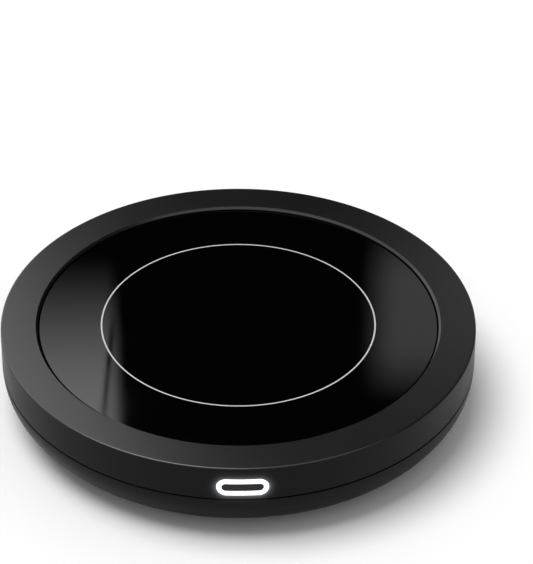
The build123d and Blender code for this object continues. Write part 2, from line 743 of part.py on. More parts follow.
with BuildPart() as x_capacitor:
    with Locations((-cell_pitch_x, middle_rear_y, parts_z)):
        Box(x_capacitor_length, x_capacitor_width, x_capacitor_height, align=standing)
    chamfer(x_capacitor.edges().group_by(Axis.Z)[-1], x_capacitor_width / 16)

with BuildPart() as choke:
    with Locations((0, middle_rear_y, parts_z)):
        Cylinder(choke_radius, choke_flange, align=standing)
        Cylinder(choke_waist_radius, choke_height, align=standing)
    with Locations((0, middle_rear_y, parts_z + choke_height)):
        Cylinder(choke_radius, choke_flange, align=hanging)

with BuildPart() as bridge_rectifier:
    with Locations((cell_pitch_x, middle_rear_y, parts_z)):
        Box(bridge_length, bridge_width, bridge_height, align=standing)
    chamfer(bridge_rectifier.faces().sort_by(Axis.Z)[-1].edges(), bridge_height / 8)
    with Locations(*[(cell_pitch_x + side * bridge_length / 3, middle_rear_y, parts_z)
                     for side in (-1, 1)]):
        Box(2 * pin_width, bridge_width + 4 * pin_width, pin_width, align=standing)

with BuildPart() as smoothing_capacitor:
    with Locations(Location((-cell_pitch_x, middle_front_y, parts_z + smoothing_radius),
                            (0, 90, 0))):
        Cylinder(smoothing_radius, smoothing_length)
    chamfer(smoothing_capacitor.edges().filter_by(GeomType.CIRCLE), smoothing_radius / 8)

with BuildPart() as weight_switch:
    with Locations((0, middle_front_y, parts_z)):
        Box(weight_switch_length, weight_switch_width, weight_switch_height, align=standing)
    with Locations((weight_plunger_offset, middle_front_y, switch_top_z)):
        Cylinder(weight_plunger_radius + plunger_clearance,
                 weight_plunger_depth + plate_travel + plunger_clearance,
                 align=hanging, mode=Mode.SUBTRACT)

with BuildPart() as weight_switch_plunger:
    with Locations((weight_plunger_offset, middle_front_y, switch_top_z - weight_plunger_depth)):
        Cylinder(weight_plunger_radius,
                 clamp_z - contact_gap - switch_top_z + weight_plunger_depth, align=standing)

with BuildPart() as heater_triac:
    with Locations((cell_pitch_x, middle_front_y, parts_z)):
        Box(triac_width, triac_width, triac_height, align=standing)
        Box(triac_length, triac_tab_width, pin_width, align=standing)

with BuildPart() as microcontroller:
    with Locations((cell_pitch_x, front_y, parts_z + controller_lift)):
        Box(controller_length, controller_width, controller_height, align=standing)
    with Locations((cell_pitch_x, front_y, parts_z)):
        with GridLocations(controller_length / 8, 0, 8, 1):
            Box(pin_width, controller_width + 4 * pin_width, pin_width, align=standing)

with BuildPart() as chip_parts:
    chip_y = front_y + cell_depth / 2 + cell_gap_y / 2
    with Locations((cell_pitch_x, chip_y, parts_z)):
        with GridLocations(chip_pitch, 0, chip_count, 1):
            Box(chip_width, chip_length, chip_height, align=standing)


def add_socket(x, length):
    """Open-topped connector on the front row of the control board."""
    with Locations((x, front_y, parts_z)):
        Box(length, socket_width, socket_height, align=standing)
    with Locations((x, front_y, socket_top_z)):
        Box(length - 2 * socket_wall, socket_width - 2 * socket_wall, socket_wall,
            align=hanging, mode=Mode.SUBTRACT)


with BuildPart() as heater_socket:
    add_socket(-cell_pitch_x, heater_socket_length)

with BuildPart() as button_socket:
    add_socket(button_socket_x, button_socket_length)

with BuildPart() as sensor_socket:
    add_socket(sensor_socket_x, sensor_socket_length)

# ================================================================ wires
with BuildPart() as heater_leads:
    with Locations((-cell_pitch_x, front_y, socket_top_z - socket_wall)):
        with GridLocations(heater_wire_pitch, 0, 2, 1):
            Cylinder(heater_wire_radius, film_z - socket_top_z + socket_wall, align=standing)

with BuildPart() as sensor_leads:
    with Locations((sensor_socket_x, front_y, socket_top_z - socket_wall)):
        with GridLocations(sensor_wire_pitch, 0, 2, 1):
            Cylinder(sensor_wire_radius, clamp_z - sensor_drop - socket_top_z + socket_wall,
                     align=standing)

with BuildPart() as button_leads:
    wire_start_z = stop_top_z + 2 * button_wire_radius
    wire_end_y = front_y - socket_width / 2
    wire_end_z = parts_z + socket_height / 2
    wire_dip_z = (wire_start_z + 3 * wire_end_z) / 4
    wire_run = switch_board_y + wire_end_y
    for number in range(button_wire_count):
        wire_x = (number - (button_wire_count - 1) / 2) * button_wire_pitch
        with BuildLine():
            FilletPolyline(
                (wire_x, -switch_board_y, wire_start_z),
                (wire_x, -switch_board_y + 5 * button_wire_radius, wire_start_z),
                (wire_x, -switch_board_y + 16 * button_wire_radius, wire_dip_z),
                (wire_x + button_socket_x, wire_end_y - wire_run / 4, wire_end_z),
                (wire_x + button_socket_x, wire_end_y, wire_end_z),
                radius=3 * button_wire_radius,
            )
        with BuildSketch(Plane(origin=(wire_x, -switch_board_y, wire_start_z), z_dir=(0, 1, 0))):
            Circle(button_wire_radius)
        sweep(transition=Transition.ROUND)

pieces = {
    "upper_housing": upper_housing,
    "lower_housing": lower_housing,
    "housing_screws": housing_screws,
    "rubber_feet": rubber_feet,
    "rating_label": rating_label,
    "cord_gland": cord_gland,
    "glass_plate": glass_plate,
    "zone_ring": zone_ring,
    "glass_seal": glass_seal,
    "heat_spreader": heat_spreader,
    "heater_film": heater_film,
    "insulation_pad": insulation_pad,
    "clamp_plate": clamp_plate,
    "plate_carrier": plate_carrier,
    "carrier_screws": carrier_screws,
    "clamp_screws": clamp_screws,
    "return_springs": return_springs,
    "temperature_sensor": temperature_sensor,
    "thermal_cutoff": thermal_cutoff,
    "cutoff_clip": cutoff_clip,
    "button_light_ring": button_light_ring,
    "button_cap": button_cap,
    "push_switch": push_switch,
    "push_switch_plunger": push_switch_plunger,
    "switch_board": switch_board,
    "status_lights": status_lights,
    "control_board": control_board,
    "board_screws": board_screws,
    "terminal_block": terminal_block,
    "fuse": fuse,
    "surge_varistor": surge_varistor,
    "x_capacitor": x_capacitor,
    "choke": choke,
    "bridge_rectifier": bridge_rectifier,
    "smoothing_capacitor": smoothing_capacitor,
    "weight_switch": weight_switch,
    "weight_switch_plunger": weight_switch_plunger,
    "heater_triac": heater_triac,
    "microcontroller": microcontroller,
    "chip_parts": chip_parts,
    "heater_socket": heater_socket,
    "button_socket": button_socket,
    "sensor_socket": sensor_socket,
    "heater_leads": heater_leads,
    "sensor_leads": sensor_leads,
    "button_leads": button_leads,
}

os.makedirs("parts", exist_ok=True)
for name, piece in pieces.items():
    piece.part.label = name
    export_step(piece.part, f"parts/{name}.step")
print(f"{len(pieces)} sub-parts, {2 * outer_radius:.1f} across, {top_z:.1f} high")
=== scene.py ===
# %% [markdown]
# # An electric mug warmer, dressed for a product shot
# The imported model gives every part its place. This lesson keeps those places, gives each part the finish
# of the real one, and models the parts whose shape matters to the eye with bmesh operators.
# The frame is loaded first, because every later size is read from it.

# %% Load the frame
import json
from math import acos, cos, degrees, pi, radians, sin, sqrt, tan

import bmesh
import bpy
from mathutils import Matrix, Vector

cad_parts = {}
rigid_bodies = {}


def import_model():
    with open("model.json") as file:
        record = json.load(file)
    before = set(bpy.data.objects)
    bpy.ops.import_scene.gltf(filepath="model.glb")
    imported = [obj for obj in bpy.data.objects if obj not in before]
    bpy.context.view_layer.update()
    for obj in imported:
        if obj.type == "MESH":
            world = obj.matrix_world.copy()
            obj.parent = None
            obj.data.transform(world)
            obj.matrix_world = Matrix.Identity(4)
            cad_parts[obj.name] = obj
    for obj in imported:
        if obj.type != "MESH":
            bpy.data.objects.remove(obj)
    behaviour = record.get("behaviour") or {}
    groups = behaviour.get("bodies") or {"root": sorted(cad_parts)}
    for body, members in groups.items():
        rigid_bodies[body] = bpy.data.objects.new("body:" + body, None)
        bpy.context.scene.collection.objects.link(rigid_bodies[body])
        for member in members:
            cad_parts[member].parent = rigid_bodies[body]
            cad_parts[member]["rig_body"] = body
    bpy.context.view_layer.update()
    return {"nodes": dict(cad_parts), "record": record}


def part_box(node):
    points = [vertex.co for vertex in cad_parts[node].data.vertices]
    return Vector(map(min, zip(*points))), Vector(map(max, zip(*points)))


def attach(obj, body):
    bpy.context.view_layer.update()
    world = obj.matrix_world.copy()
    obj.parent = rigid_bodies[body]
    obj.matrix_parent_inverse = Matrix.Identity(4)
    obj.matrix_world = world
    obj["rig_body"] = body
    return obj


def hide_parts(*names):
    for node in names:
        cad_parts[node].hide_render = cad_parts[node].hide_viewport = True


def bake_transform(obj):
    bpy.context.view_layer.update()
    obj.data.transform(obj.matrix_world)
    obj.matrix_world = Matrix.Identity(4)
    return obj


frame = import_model()
nodes = frame["nodes"]
mm = 0.001

# %% [markdown]
# A few heights and radii steer everything. They are read from the boxes of the CAD nodes, so that the
# visible shells fit the mechanism to a hundredth of a millimetre.

# %% Read the main sizes
top_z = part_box("upper_housing")[1].z
outer_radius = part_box("upper_housing")[1].x
glass_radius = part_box("glass_plate")[1].x
glass_top_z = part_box("glass_plate")[1].z
glass_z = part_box("glass_plate")[0].z
print(f"top {top_z / mm:.1f} mm, across {2 * outer_radius / mm:.1f} mm, glass top {glass_top_z / mm:.1f} mm")

# %% [markdown]
# Colours are picked as sRGB hex values, as on a colour card. Blender shades in linear light, so one
# function turns them. A second small function adds a node, sets it and links it in one line, which keeps
# each material short enough to read. All patterns use Object coordinates, which here are metres.

# %% Helpers for materials
def linear(hex_colour):
    """An sRGB hex colour as the linear RGBA that shader sockets take."""
    channels = [int(hex_colour[i:i + 2], 16) / 255 for i in (1, 3, 5)]
    turned = [c / 12.92 if c <= 0.04045 else ((c + 0.055) / 1.055) ** 2.4 for c in channels]
    return (*turned, 1.0)


def new_material(name):
    """A material with an empty node tree."""
    material = bpy.data.materials.new(name)
    material.use_nodes = True
    material.node_tree.nodes.clear()
    return material


def add(material, kind, inputs=(), **settings):
    """Adds a shader node: settings are its properties, and inputs its sockets by name or number.

    Each input is a plain value, a socket to link, or a node whose first output is linked."""
    tree = material.node_tree
    node = tree.nodes.new("ShaderNode" + kind)
    for setting, value in settings.items():
        setattr(node, setting, value)
    for socket, value in dict(inputs).items():
        value = value.outputs[0] if isinstance(value, bpy.types.Node) else value
        if isinstance(value, bpy.types.NodeSocket):
            tree.links.new(value, node.inputs[socket])
        else:
            node.inputs[socket].default_value = value
    return node


def new_surface(name):
    """A new material with its Object coordinates, which every pattern on it is laid out in."""
    material = new_material(name)
    return material, add(material, "TexCoord").outputs["Object"]

# %% [markdown]
# ## The camera
# The warmer is seen from in front and above. A long lens keeps the disc nearly free of perspective. The
# camera looks at the middle of the top ring, and the small shift only frames the picture.

# %% Place the camera
camera_distance = 821.6 * mm
camera_elevation = 36.1
camera_azimuth = -1.0
camera = bpy.data.objects.new("camera", bpy.data.cameras.new("camera"))
bpy.context.scene.collection.objects.link(camera)
camera_side = Vector((sin(radians(camera_azimuth)) * cos(radians(camera_elevation)),
                      -cos(radians(camera_azimuth)) * cos(radians(camera_elevation)),
                      sin(radians(camera_elevation))))
camera.location = Vector((0, 0, top_z)) + camera_side * camera_distance
camera.rotation_euler = (-camera_side).to_track_quat("-Z", "Y").to_euler()
camera.data.sensor_width = 36
camera.data.lens = 191.5
camera.data.shift_x = 0.050
camera.data.shift_y = 0.0666
camera.data.clip_start = 10 * mm
camera.data.clip_end = 50
bpy.context.scene.camera = camera
print("camera at", [round(value, 3) for value in camera.location])

# %% [markdown]
# ## The studio
# A pale floor runs to the horizon, and the room round it is white. A soft sun high on the left gives the
# shadow to the right. Black gloss shows what stands opposite it, so it is lit as a photographer lights it:
# with cards. A card behind the object and one beside it are seen by gloss alone. Both are black felt, and
# the one behind carries lit silks.

# %% Lay the floor
def stage_sheet(name, material, size, place):
    """A flat sheet of the studio, with its place in its mesh."""
    sheet = bmesh.new()
    bmesh.ops.create_grid(sheet, x_segments=1, y_segments=1, size=0.5,
                          matrix=place @ Matrix.Diagonal((size[0], size[1], 1, 1)))
    mesh = bpy.data.meshes.new(name)
    sheet.to_mesh(mesh)
    sheet.free()
    made = bpy.data.objects.new(name, mesh)
    bpy.context.scene.collection.objects.link(made)
    mesh.materials.append(material)
    return made


paper = new_material("studio paper, matt")
paper_shader = add(paper, "BsdfPrincipled", {
    "Base Color": linear("#ffffff"), "Roughness": 0.9, "Specular IOR Level": 0.2})
add(paper, "OutputMaterial", {"Surface": paper_shader})
floor_size = (16, 16)
stage_sheet("studio_floor", paper, floor_size, Matrix())
print("floor", floor_size[0], "m wide")

# %% Light the room
world = bpy.data.worlds.new("white_room")
bpy.context.scene.world = world
world.use_nodes = True
world.node_tree.nodes.clear()
WHITE = (1, 1, 1, 1)
FILL = 0.45
fill_light = add(world, "Background", {"Color": WHITE, "Strength": FILL})
seen_white = add(world, "Background", {"Color": WHITE, "Strength": 1.0})
ray = add(world, "LightPath")
mirrored = add(world, "Math", {
    0: ray.outputs["Is Glossy Ray"], 1: ray.outputs["Is Transmission Ray"]}, operation="MAXIMUM")
shown = add(world, "Math", {0: ray.outputs["Is Camera Ray"], 1: mirrored}, operation="MAXIMUM")
room = add(world, "MixShader", {0: shown, 1: fill_light, 2: seen_white})
add(world, "OutputWorld", {"Surface": room})

sun = bpy.data.objects.new("soft_sun", bpy.data.lights.new("soft_sun", "SUN"))
bpy.context.scene.collection.objects.link(sun)
SUN_SIDE = Vector((-0.28, 0.05, 0.95)).normalized()
sun.rotation_euler = SUN_SIDE.to_track_quat("Z", "Y").to_euler()
sun.data.energy = 1.95
sun.data.angle = radians(39)
bpy.context.scene.view_settings.view_transform = "Standard"
print(f"fill {FILL}, sun {sun.data.energy:.2f}, {degrees(sun.data.angle):.0f} degrees wide")

# %% Helpers for the cards
def fade(material, value, start, end, low=0.0, high=1.0):
    """Low before start and high after end, with a soft step between, in millimetres."""
    return add(material, "MapRange", {
        "Value": value, "From Min": start * mm, "From Max": end * mm, "To Min": low, "To Max": high},
        interpolation_type="SMOOTHSTEP")


def together(material, operation, *terms):
    """Several values joined by one operation, such as their product or the largest of them."""
    total = terms[0]
    for term in terms[1:]:
        total = add(material, "Math", {0: total, 1: term}, operation=operation)
    return total


def gloss_card(name, size, place):
    """A card that only gloss can see, with the nodes of its place and its light."""
    material, here = new_surface(name + ", felt and silk")
    spot = add(material, "SeparateXYZ", {"Vector": here})
    light = add(material, "Emission", {"Color": WHITE})
    add(material, "OutputMaterial", {"Surface": light})
    card = stage_sheet(name, material, size, place)
    card.visible_camera = False
    card.visible_diffuse = False
    card.visible_shadow = False
    card.visible_transmission = False
    return material, spot, light

# %% [markdown]
# The silks of the card behind are set in millimetres across and up. A tall window and the strip above it,
# both on the left, draw a soft sheen over the glass and brighten the left of the ring. A high silk, with
# one thin leaning bar across it, lights the front left of the glass, and two dim ones lift the right side.
# A lit far wall catches the chamfer inside the ring. Both cards turn as white as the room towards their
# borders, so that the glass mirrors no hard border.

# %% Set up the cards
felt = 0.008
worn_felt = 0.02
back, spot, back_light = gloss_card("card_behind", (1.5, 1.2),
                                    Matrix.Translation((0.15, 0.35, 0.61)) @ Matrix.Rotation(pi / 2, 4, "X"))
x, z = spot.outputs["X"], spot.outputs["Z"]
leaning = add(back, "Math", {0: z, 1: 0.1, 2: x}, operation="MULTIPLY_ADD")
off_bar = together(back, "MAXIMUM", fade(back, leaning, -19.4, -20), fade(back, leaning, -18, -17.4),
                   fade(back, z, 290, 270))


def silk(across, up, *terms):
    """The light of one silk of the card behind: its fades across and up, and its strength."""
    fades = [fade(back, x, *step) for step in across] + [fade(back, z, *step) for step in up]
    return together(back, "MULTIPLY", *fades, *terms)


high_silk = silk([(-41.5, -50.5)], [(240, 330)], off_bar, 2.0)
window = silk([(-77, -112), (-250, -190)], [(430, 370), (150, 230, 1.07, 1.89)])
strip = silk([(10, -70), (-250, -190)], [(338, 375), (480, 400)], 1.75)
far_wall = silk([(-215, -275), (-350, -600, 1.4, 1.0)], [(30, 90)])
small_silk = silk([(55, 75), (190, 130)], [(225, 260), (325, 290)], 0.6)
side_silk = silk([(92, 112), (240, 200)], [(170, 215), (300, 255)], 0.68)
borders = (fade(back, x, 600, 900), fade(back, z, 900, 1210))
back_strength = together(back, "MAXIMUM", felt, high_silk, window, strip, far_wall, small_silk, side_silk,
                         *borders)
back.node_tree.links.new(back_strength.outputs[0], back_light.inputs["Strength"])

right, spot, right_light = gloss_card("card_right", (0.7, 0.7), Matrix.Translation((0.42, 0.0, 0.42))
                                      @ Matrix.Rotation(pi / 2, 4, "Y"))
borders = (fade(right, spot.outputs["Y"], -100, -350), fade(right, spot.outputs["Z"], 600, 770))
right_strength = together(right, "MAXIMUM", worn_felt, *borders)
right.node_tree.links.new(right_strength.outputs[0], right_light.inputs["Strength"])
print("cards:", back.name, "and", right.name)

# %% [markdown]
# ## Finishes
# Each finish starts from what the real thing is and how it was made. Moulded plastics share one recipe:
# a base colour, the gloss that the mould's surface gives, and a fine grain from spark erosion or blasting
# of the mould. The grain of a real mould is 0.05 to 0.1 mm, so it is drawn a little coarser to show.

# %% Moulded plastics
def moulded(name, colour, roughness, grain_mm=0.3, relief_mm=0.004, ior=1.5, specular=0.5, patchiness=0.03):
    """Injection-moulded plastic: mould grain as bump, and a gloss that wanders a little over the part."""
    material, place = new_surface(name)
    grain = add(material, "TexNoise", {"Vector": place, "Scale": 1 / (grain_mm * mm), "Detail": 2.0})
    relief = add(material, "Bump", {"Height": grain, "Strength": 1.0, "Distance": relief_mm * mm})
    flow = add(material, "TexNoise", {"Vector": place, "Scale": 1 / (14 * mm), "Detail": 3.0})
    gloss = add(material, "MapRange", {
        "Value": flow, "From Min": 0.3, "From Max": 0.7, "To Min": roughness - patchiness,
        "To Max": roughness + patchiness})
    shade = add(material, "MapRange", {
        "Value": flow, "From Min": 0.3, "From Max": 0.7, "To Min": 0.94, "To Max": 1.06})
    tint = add(material, "VectorMath", {0: linear(colour)[:3], "Scale": shade}, operation="SCALE")
    shader = add(material, "BsdfPrincipled", {
        "Base Color": tint, "Roughness": gloss, "IOR": ior, "Specular IOR Level": specular, "Normal": relief})
    add(material, "OutputMaterial", {"Surface": shader})
    return material


finishes = {}
# ABS with a soft satin from a blasted mould: deep black, gentle highlights.
finishes["housing_black"] = moulded("ABS, satin moulded black", "#0d0d0e", 0.4, relief_mm=0.002,
                                    specular=0.09)
# The dark middle of the button is the same ABS from a polished mould.
finishes["button_black"] = moulded("ABS, gloss moulded black", "#101114", 0.24, 0.5, 0.002, specular=0.3)
finishes["carrier_plastic"] = moulded("PBT with glass fibre, moulded", "#2a2b2d", 0.55, 0.4, 0.01, 1.55)
finishes["part_black"] = moulded("epoxy moulding compound, black", "#1b1b1c", 0.6, 0.2, 0.006, 1.55)
finishes["plunger_red"] = moulded("acetal, moulded red", "#a5261e", 0.35, 0.5, 0.002, 1.48)
finishes["terminal_green"] = moulded("polyamide, moulded green", "#2f7d46", 0.42, 0.4, 0.004, 1.53)
finishes["capacitor_yellow"] = moulded("polypropylene box, moulded yellow", "#d8a21c", 0.4, 0.4, 0.004, 1.49)
finishes["socket_white"] = moulded("nylon, moulded white", "#ddd8ca", 0.45, 0.4, 0.003, 1.53)
finishes["capacitor_sleeve"] = moulded("PVC sleeve, shrunk dark blue", "#1c2436", 0.3, 1.2, 0.006, 1.54)
finishes["lead_white"] = moulded("silicone wire cover, white", "#cfcdc6", 0.55, 0.3, 0.004, 1.41)
finishes["lead_black"] = moulded("silicone wire cover, black", "#151516", 0.5, 0.3, 0.004, 1.41)
print(len(finishes), "moulded finishes")

# %% [markdown]
# Rubber scatters light more than plastic: it is rough, slightly dusty on its high spots, and its grain is
# coarser. The seal under the glass is translucent silicone, which is softer still.

# %% Rubber and silicone
finishes["black_rubber"] = moulded("nitrile rubber, moulded black", "#1d1d1d", 0.78, 0.35, 0.02, 1.52, 0.4,
                                   patchiness=0.06)
finishes["silicone"] = moulded("silicone, die-cut grey", "#9a9b98", 0.62, 0.5, 0.008, 1.41)
print(len(finishes), "finishes with rubber and silicone")

# %% [markdown]
# The plate is tempered glass with black enamel fired on its underside. From above it reads as deep black
# under a mirror-like skin. A few hundredths of roughness wander over it, as on glass that gets wiped.

# %% Glass and its printed circle
def black_glass():
    """Glass over black enamel: deep black under a clear, faintly wiped skin."""
    material, place = new_surface("tempered glass, black enamel behind")
    wiped = add(material, "TexNoise", {"Vector": place, "Scale": 1 / (22 * mm), "Detail": 4.0})
    gloss = add(material, "MapRange", {
        "Value": wiped, "From Min": 0.35, "From Max": 0.7, "To Min": 0.02, "To Max": 0.05})
    shader = add(material, "BsdfPrincipled", {
        "Base Color": linear("#020203"), "Roughness": gloss, "IOR": 1.52})
    add(material, "OutputMaterial", {"Surface": shader})
    return material


def ceramic_ink():
    """Pale enamel, screen printed and fired: matt, with the faint unevenness of the printing mesh."""
    material, place = new_surface("ceramic ink, screen printed")
    mesh_marks = add(material, "TexNoise", {"Vector": place, "Scale": 1 / (0.4 * mm), "Detail": 1.0})
    tone = add(material, "Mix", {0: mesh_marks, 6: linear("#b4b4b2"), 7: linear("#dededc")}, data_type="RGBA")
    shader = add(material, "BsdfPrincipled", {"Base Color": tone.outputs[2], "Roughness": 0.45, "IOR": 1.5})
    add(material, "OutputMaterial", {"Surface": shader})
    return material


finishes["plate_glass"] = black_glass()
finishes["zone_ink"] = ceramic_ink()
print("glass and ink:", finishes["plate_glass"].name, "|", finishes["zone_ink"].name)

# %% [markdown]
# The ring on the front is a milky polycarbonate light guide with two lights behind it. It glows nearly
# evenly, a little stronger over each light, so its strength falls with the distance from them.

# %% The lit ring
button_low, button_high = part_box("button_light_ring")
button_z = (button_low.z + button_high.z) / 2
button_width = 13.6 * mm
button_height = 5.2 * mm


def lit_polycarbonate(light_x):
    """Milky light guide with a light at light_x on either side of its middle."""
    material, place = new_surface("polycarbonate light guide, milky, lit")
    across = add(material, "SeparateXYZ", {"Vector": place})
    side = add(material, "Math", {0: across.outputs["X"]}, operation="ABSOLUTE")
    off_light = add(material, "Math", {0: side, 1: light_x}, operation="SUBTRACT")
    distance = add(material, "Math", {0: off_light}, operation="ABSOLUTE")
    power = add(material, "MapRange", {
        "Value": distance, "From Min": 0.0, "From Max": 6 * mm, "To Min": 1.25, "To Max": 0.98})
    shader = add(material, "BsdfPrincipled", {
        "Base Color": linear("#e9edf2"), "Roughness": 0.35, "IOR": 1.58, "Emission Color": linear("#fbfdff"),
        "Emission Strength": power})
    add(material, "OutputMaterial", {"Surface": shader})
    return material


finishes["light_guide"] = lit_polycarbonate(5.6 * mm)
print("button", round(button_width / mm, 1), "by", round(button_height / mm, 1), "mm, lit from behind")

# %% [markdown]
# The wide ring round the plate gets wiped most, so its top face and the chamfer inside it carry a clear
# satin lacquer. The Coat of the Principled shader gives it: a second, smoother skin over the matt plastic.
# Its weight follows height and radius. It reaches just past the chamfer inside the ring, and outside it
# stops on the rounded edge, where the plastic itself is polished, before the side band begins.

# %% Lacquer on the top face
LACQUER_DEPTH = 0.60 * mm
LACQUER_BORDER = 0.03 * mm
EDGE_START = outer_radius - 0.46 * mm
EDGE_END = outer_radius - 0.40 * mm
EDGE_LIFT = 0.37 * mm


def node_of(material, kind):
    """The one node of a kind in a finished material."""
    return next(node for node in material.node_tree.nodes if node.bl_idname == "ShaderNode" + kind)


def add_top_lacquer(material, coat_roughness, edge_roughness):
    """Adds the clear satin lacquer of the top face and its inner rim, and a polished radius outside."""
    links = material.node_tree.links
    place = node_of(material, "TexCoord").outputs["Object"]
    shader = node_of(material, "BsdfPrincipled")
    gloss = shader.inputs["Roughness"].links[0].from_socket
    spot = add(material, "SeparateXYZ", {"Vector": place})
    flat_spot = add(material, "CombineXYZ", {"X": spot.outputs["X"], "Y": spot.outputs["Y"]})
    reach = add(material, "VectorMath", {0: flat_spot}, operation="LENGTH")
    far_out = add(material, "MapRange", {
        "Value": reach.outputs["Value"], "From Min": EDGE_START, "From Max": EDGE_END})
    height = add(material, "Math", {
        0: far_out, 1: -EDGE_LIFT, 2: spot.outputs["Z"]}, operation="MULTIPLY_ADD")
    coat = add(material, "MapRange", {
        "Value": height, "From Min": top_z - LACQUER_DEPTH - LACQUER_BORDER,
        "From Max": top_z - LACQUER_DEPTH})
    edge = together(material, "MULTIPLY", far_out, coat)
    roughness = add(material, "Mix", {0: edge, 2: gloss, 3: edge_roughness})
    links.new(roughness.outputs[0], shader.inputs["Roughness"])
    links.new(coat.outputs[0], shader.inputs["Coat Weight"])
    shader.inputs["Coat Roughness"].default_value = coat_roughness


add_top_lacquer(finishes["housing_black"], 0.23, 0.13)
print("lacquer down to", round((top_z - LACQUER_DEPTH) / mm, 2), "mm")

# %% [markdown]
# The halo next to the lit ring is a painted glow: emission in the satin housing's own surface, standing in
# for the glow the ring spreads round it.
# It is worked out from the distance to the ring's outline and falls off with it.

# %% Painted glow round the lit ring
def add_painted_glow(material, strength, reach):
    """Adds a painted glow round the ring to a finished housing material, as emission in its own surface."""
    place = node_of(material, "TexCoord").outputs["Object"]
    shader = node_of(material, "BsdfPrincipled")
    spot = add(material, "SeparateXYZ", {"Vector": place})
    side = add(material, "Math", {0: spot.outputs["X"]}, operation="ABSOLUTE")
    half_straight = (button_width - button_height) / 2
    past_straight = add(material, "Math", {0: side, 1: half_straight}, operation="SUBTRACT")
    along = add(material, "Math", {0: past_straight, 1: 0.0}, operation="MAXIMUM")
    above = add(material, "Math", {0: spot.outputs["Z"], 1: button_z}, operation="SUBTRACT")
    flat_spot = add(material, "CombineXYZ", {"X": along, "Y": above})
    from_middle = add(material, "VectorMath", {0: flat_spot}, operation="LENGTH")
    distance = add(material, "Math", {
        0: from_middle.outputs["Value"], 1: button_height / 2}, operation="SUBTRACT")
    fading = add(material, "Math", {0: distance, 1: -1 / reach}, operation="MULTIPLY")
    painted_glow_falloff = add(material, "Math", {0: fading}, operation="EXPONENT")
    # Only the front of the housing, near the ring, carries the painted glow.
    front = add(material, "Math", {0: spot.outputs["Y"], 1: -0.9 * outer_radius}, operation="LESS_THAN")
    power = together(material, "MULTIPLY", painted_glow_falloff, front, strength)
    shader.inputs["Emission Color"].default_value = linear("#f4f8ff")
    material.node_tree.links.new(power.outputs[0], shader.inputs["Emission Strength"])


# The glow round the ring is light painted into the housing's surface.
add_painted_glow(finishes["housing_black"], 0.19, 0.55 * mm)
print("halo in", finishes["housing_black"].name)

# %% [markdown]
# Metals are all Principled with metallic at 1 and the default index of refraction. What tells them apart
# is their colour, how rough they are, and the marks that rolling, turning or plating leave.

# %% Metals
def metal(name, colour, roughness, marks_mm, stretch=(1, 1, 1), relief_mm=0.003, spread=0.06):
    """Metal with fine marks: stretch pulls them into lines along an axis, as rolling or drawing does."""
    material, place = new_surface(name)
    drawn = add(material, "Mapping", {"Vector": place, "Scale": stretch})
    marks = add(material, "TexNoise", {"Vector": drawn, "Scale": 1 / (marks_mm * mm), "Detail": 3.0})
    relief = add(material, "Bump", {"Height": marks, "Distance": relief_mm * mm})
    gloss = add(material, "MapRange", {
        "Value": marks, "From Min": 0.3, "From Max": 0.7, "To Min": roughness - spread,
        "To Max": roughness + spread})
    shader = add(material, "BsdfPrincipled", {
        "Base Color": linear(colour), "Metallic": 1.0, "Roughness": gloss, "Normal": relief})
    add(material, "OutputMaterial", {"Surface": shader})
    return material


finishes["steel"] = metal("stainless sheet, rolled", "#b9b7b2", 0.34, 0.5, (0.06, 1, 1))
finishes["screw_steel"] = metal("steel, black zinc plated", "#5c5d60", 0.38, 0.25)
finishes["cutoff_metal"] = metal("aluminium can, drawn", "#c6c7c9", 0.3, 0.4, (0.1, 1, 1))
finishes["chip_tin"] = metal("tinned copper", "#c9c8c4", 0.32, 0.15)
finishes["aluminium"] = metal("aluminium plate, milled", "#cfd1d3", 0.36, 0.4, (1, 0.05, 1), 0.004)
print(len(finishes), "finishes with the metals")

# %% [markdown]
# The choke is wound with enamelled copper wire. Its turns are too fine to model, so a wave over the height
# gives one ridge for each turn, and a clear coat over the metal stands for the enamel. The wave repeats
# every 2 pi / 20 of its scaled length, so its scale comes from the 0.4 mm spacing of the wire.

# %% Wound copper
def wound_copper():
    """Enamelled copper wire in close turns: a fine ridge for every turn, under a clear amber coat."""
    material, place = new_surface("enamelled copper wire, wound")
    turns = add(material, "TexWave", {
        "Vector": place, "Scale": 2 * pi / (20 * 0.4 * mm)}, wave_type="BANDS", bands_direction="Z",
        wave_profile="SIN")
    relief = add(material, "Bump", {"Height": turns.outputs["Fac"], "Distance": 0.12 * mm})
    shader = add(material, "BsdfPrincipled", {
        "Base Color": linear("#b4622c"), "Metallic": 1.0, "Roughness": 0.3, "Coat Weight": 0.6,
        "Coat Roughness": 0.15, "Normal": relief})
    add(material, "OutputMaterial", {"Surface": shader})
    return material


finishes["choke_copper"] = wound_copper()
print("wound:", finishes["choke_copper"].name)

# %% [markdown]
# The heater is a metal foil track between two films of amber polyimide. The track runs in rings, so a
# ring pattern on Object coordinates, centred on the plate, draws it. Under it lies a ceramic fibre pad,
# soft and chalky, pressed from short fibres.

# %% Heater film and insulation
def two_tone(material, mask, low_colour, high_colour, relief_mm, roughness, ior):
    """Finishes a material of two colours, where a mask sets the colour and stands up as fine relief."""
    tone = add(material, "Mix", {0: mask, 6: linear(low_colour), 7: linear(high_colour)}, data_type="RGBA")
    relief = add(material, "Bump", {"Height": mask, "Distance": relief_mm * mm})
    shader = add(material, "BsdfPrincipled", {
        "Base Color": tone.outputs[2], "Roughness": roughness, "IOR": ior, "Normal": relief})
    add(material, "OutputMaterial", {"Surface": shader})
    return material


def heater_foil():
    """Amber film with the rings of the foil track showing darker through it, 3.2 mm apart."""
    material, place = new_surface("polyimide film over etched foil")
    rings = add(material, "TexWave", {"Vector": place, "Scale": 2 * pi / (20 * 3.2 * mm)},
                wave_type="RINGS", rings_direction="Z", wave_profile="SIN")
    track = add(material, "MapRange", {"Value": rings.outputs["Fac"], "From Min": 0.35, "From Max": 0.45})
    return two_tone(material, track, "#b8660f", "#6d4a21", 0.05, 0.25, 1.7)


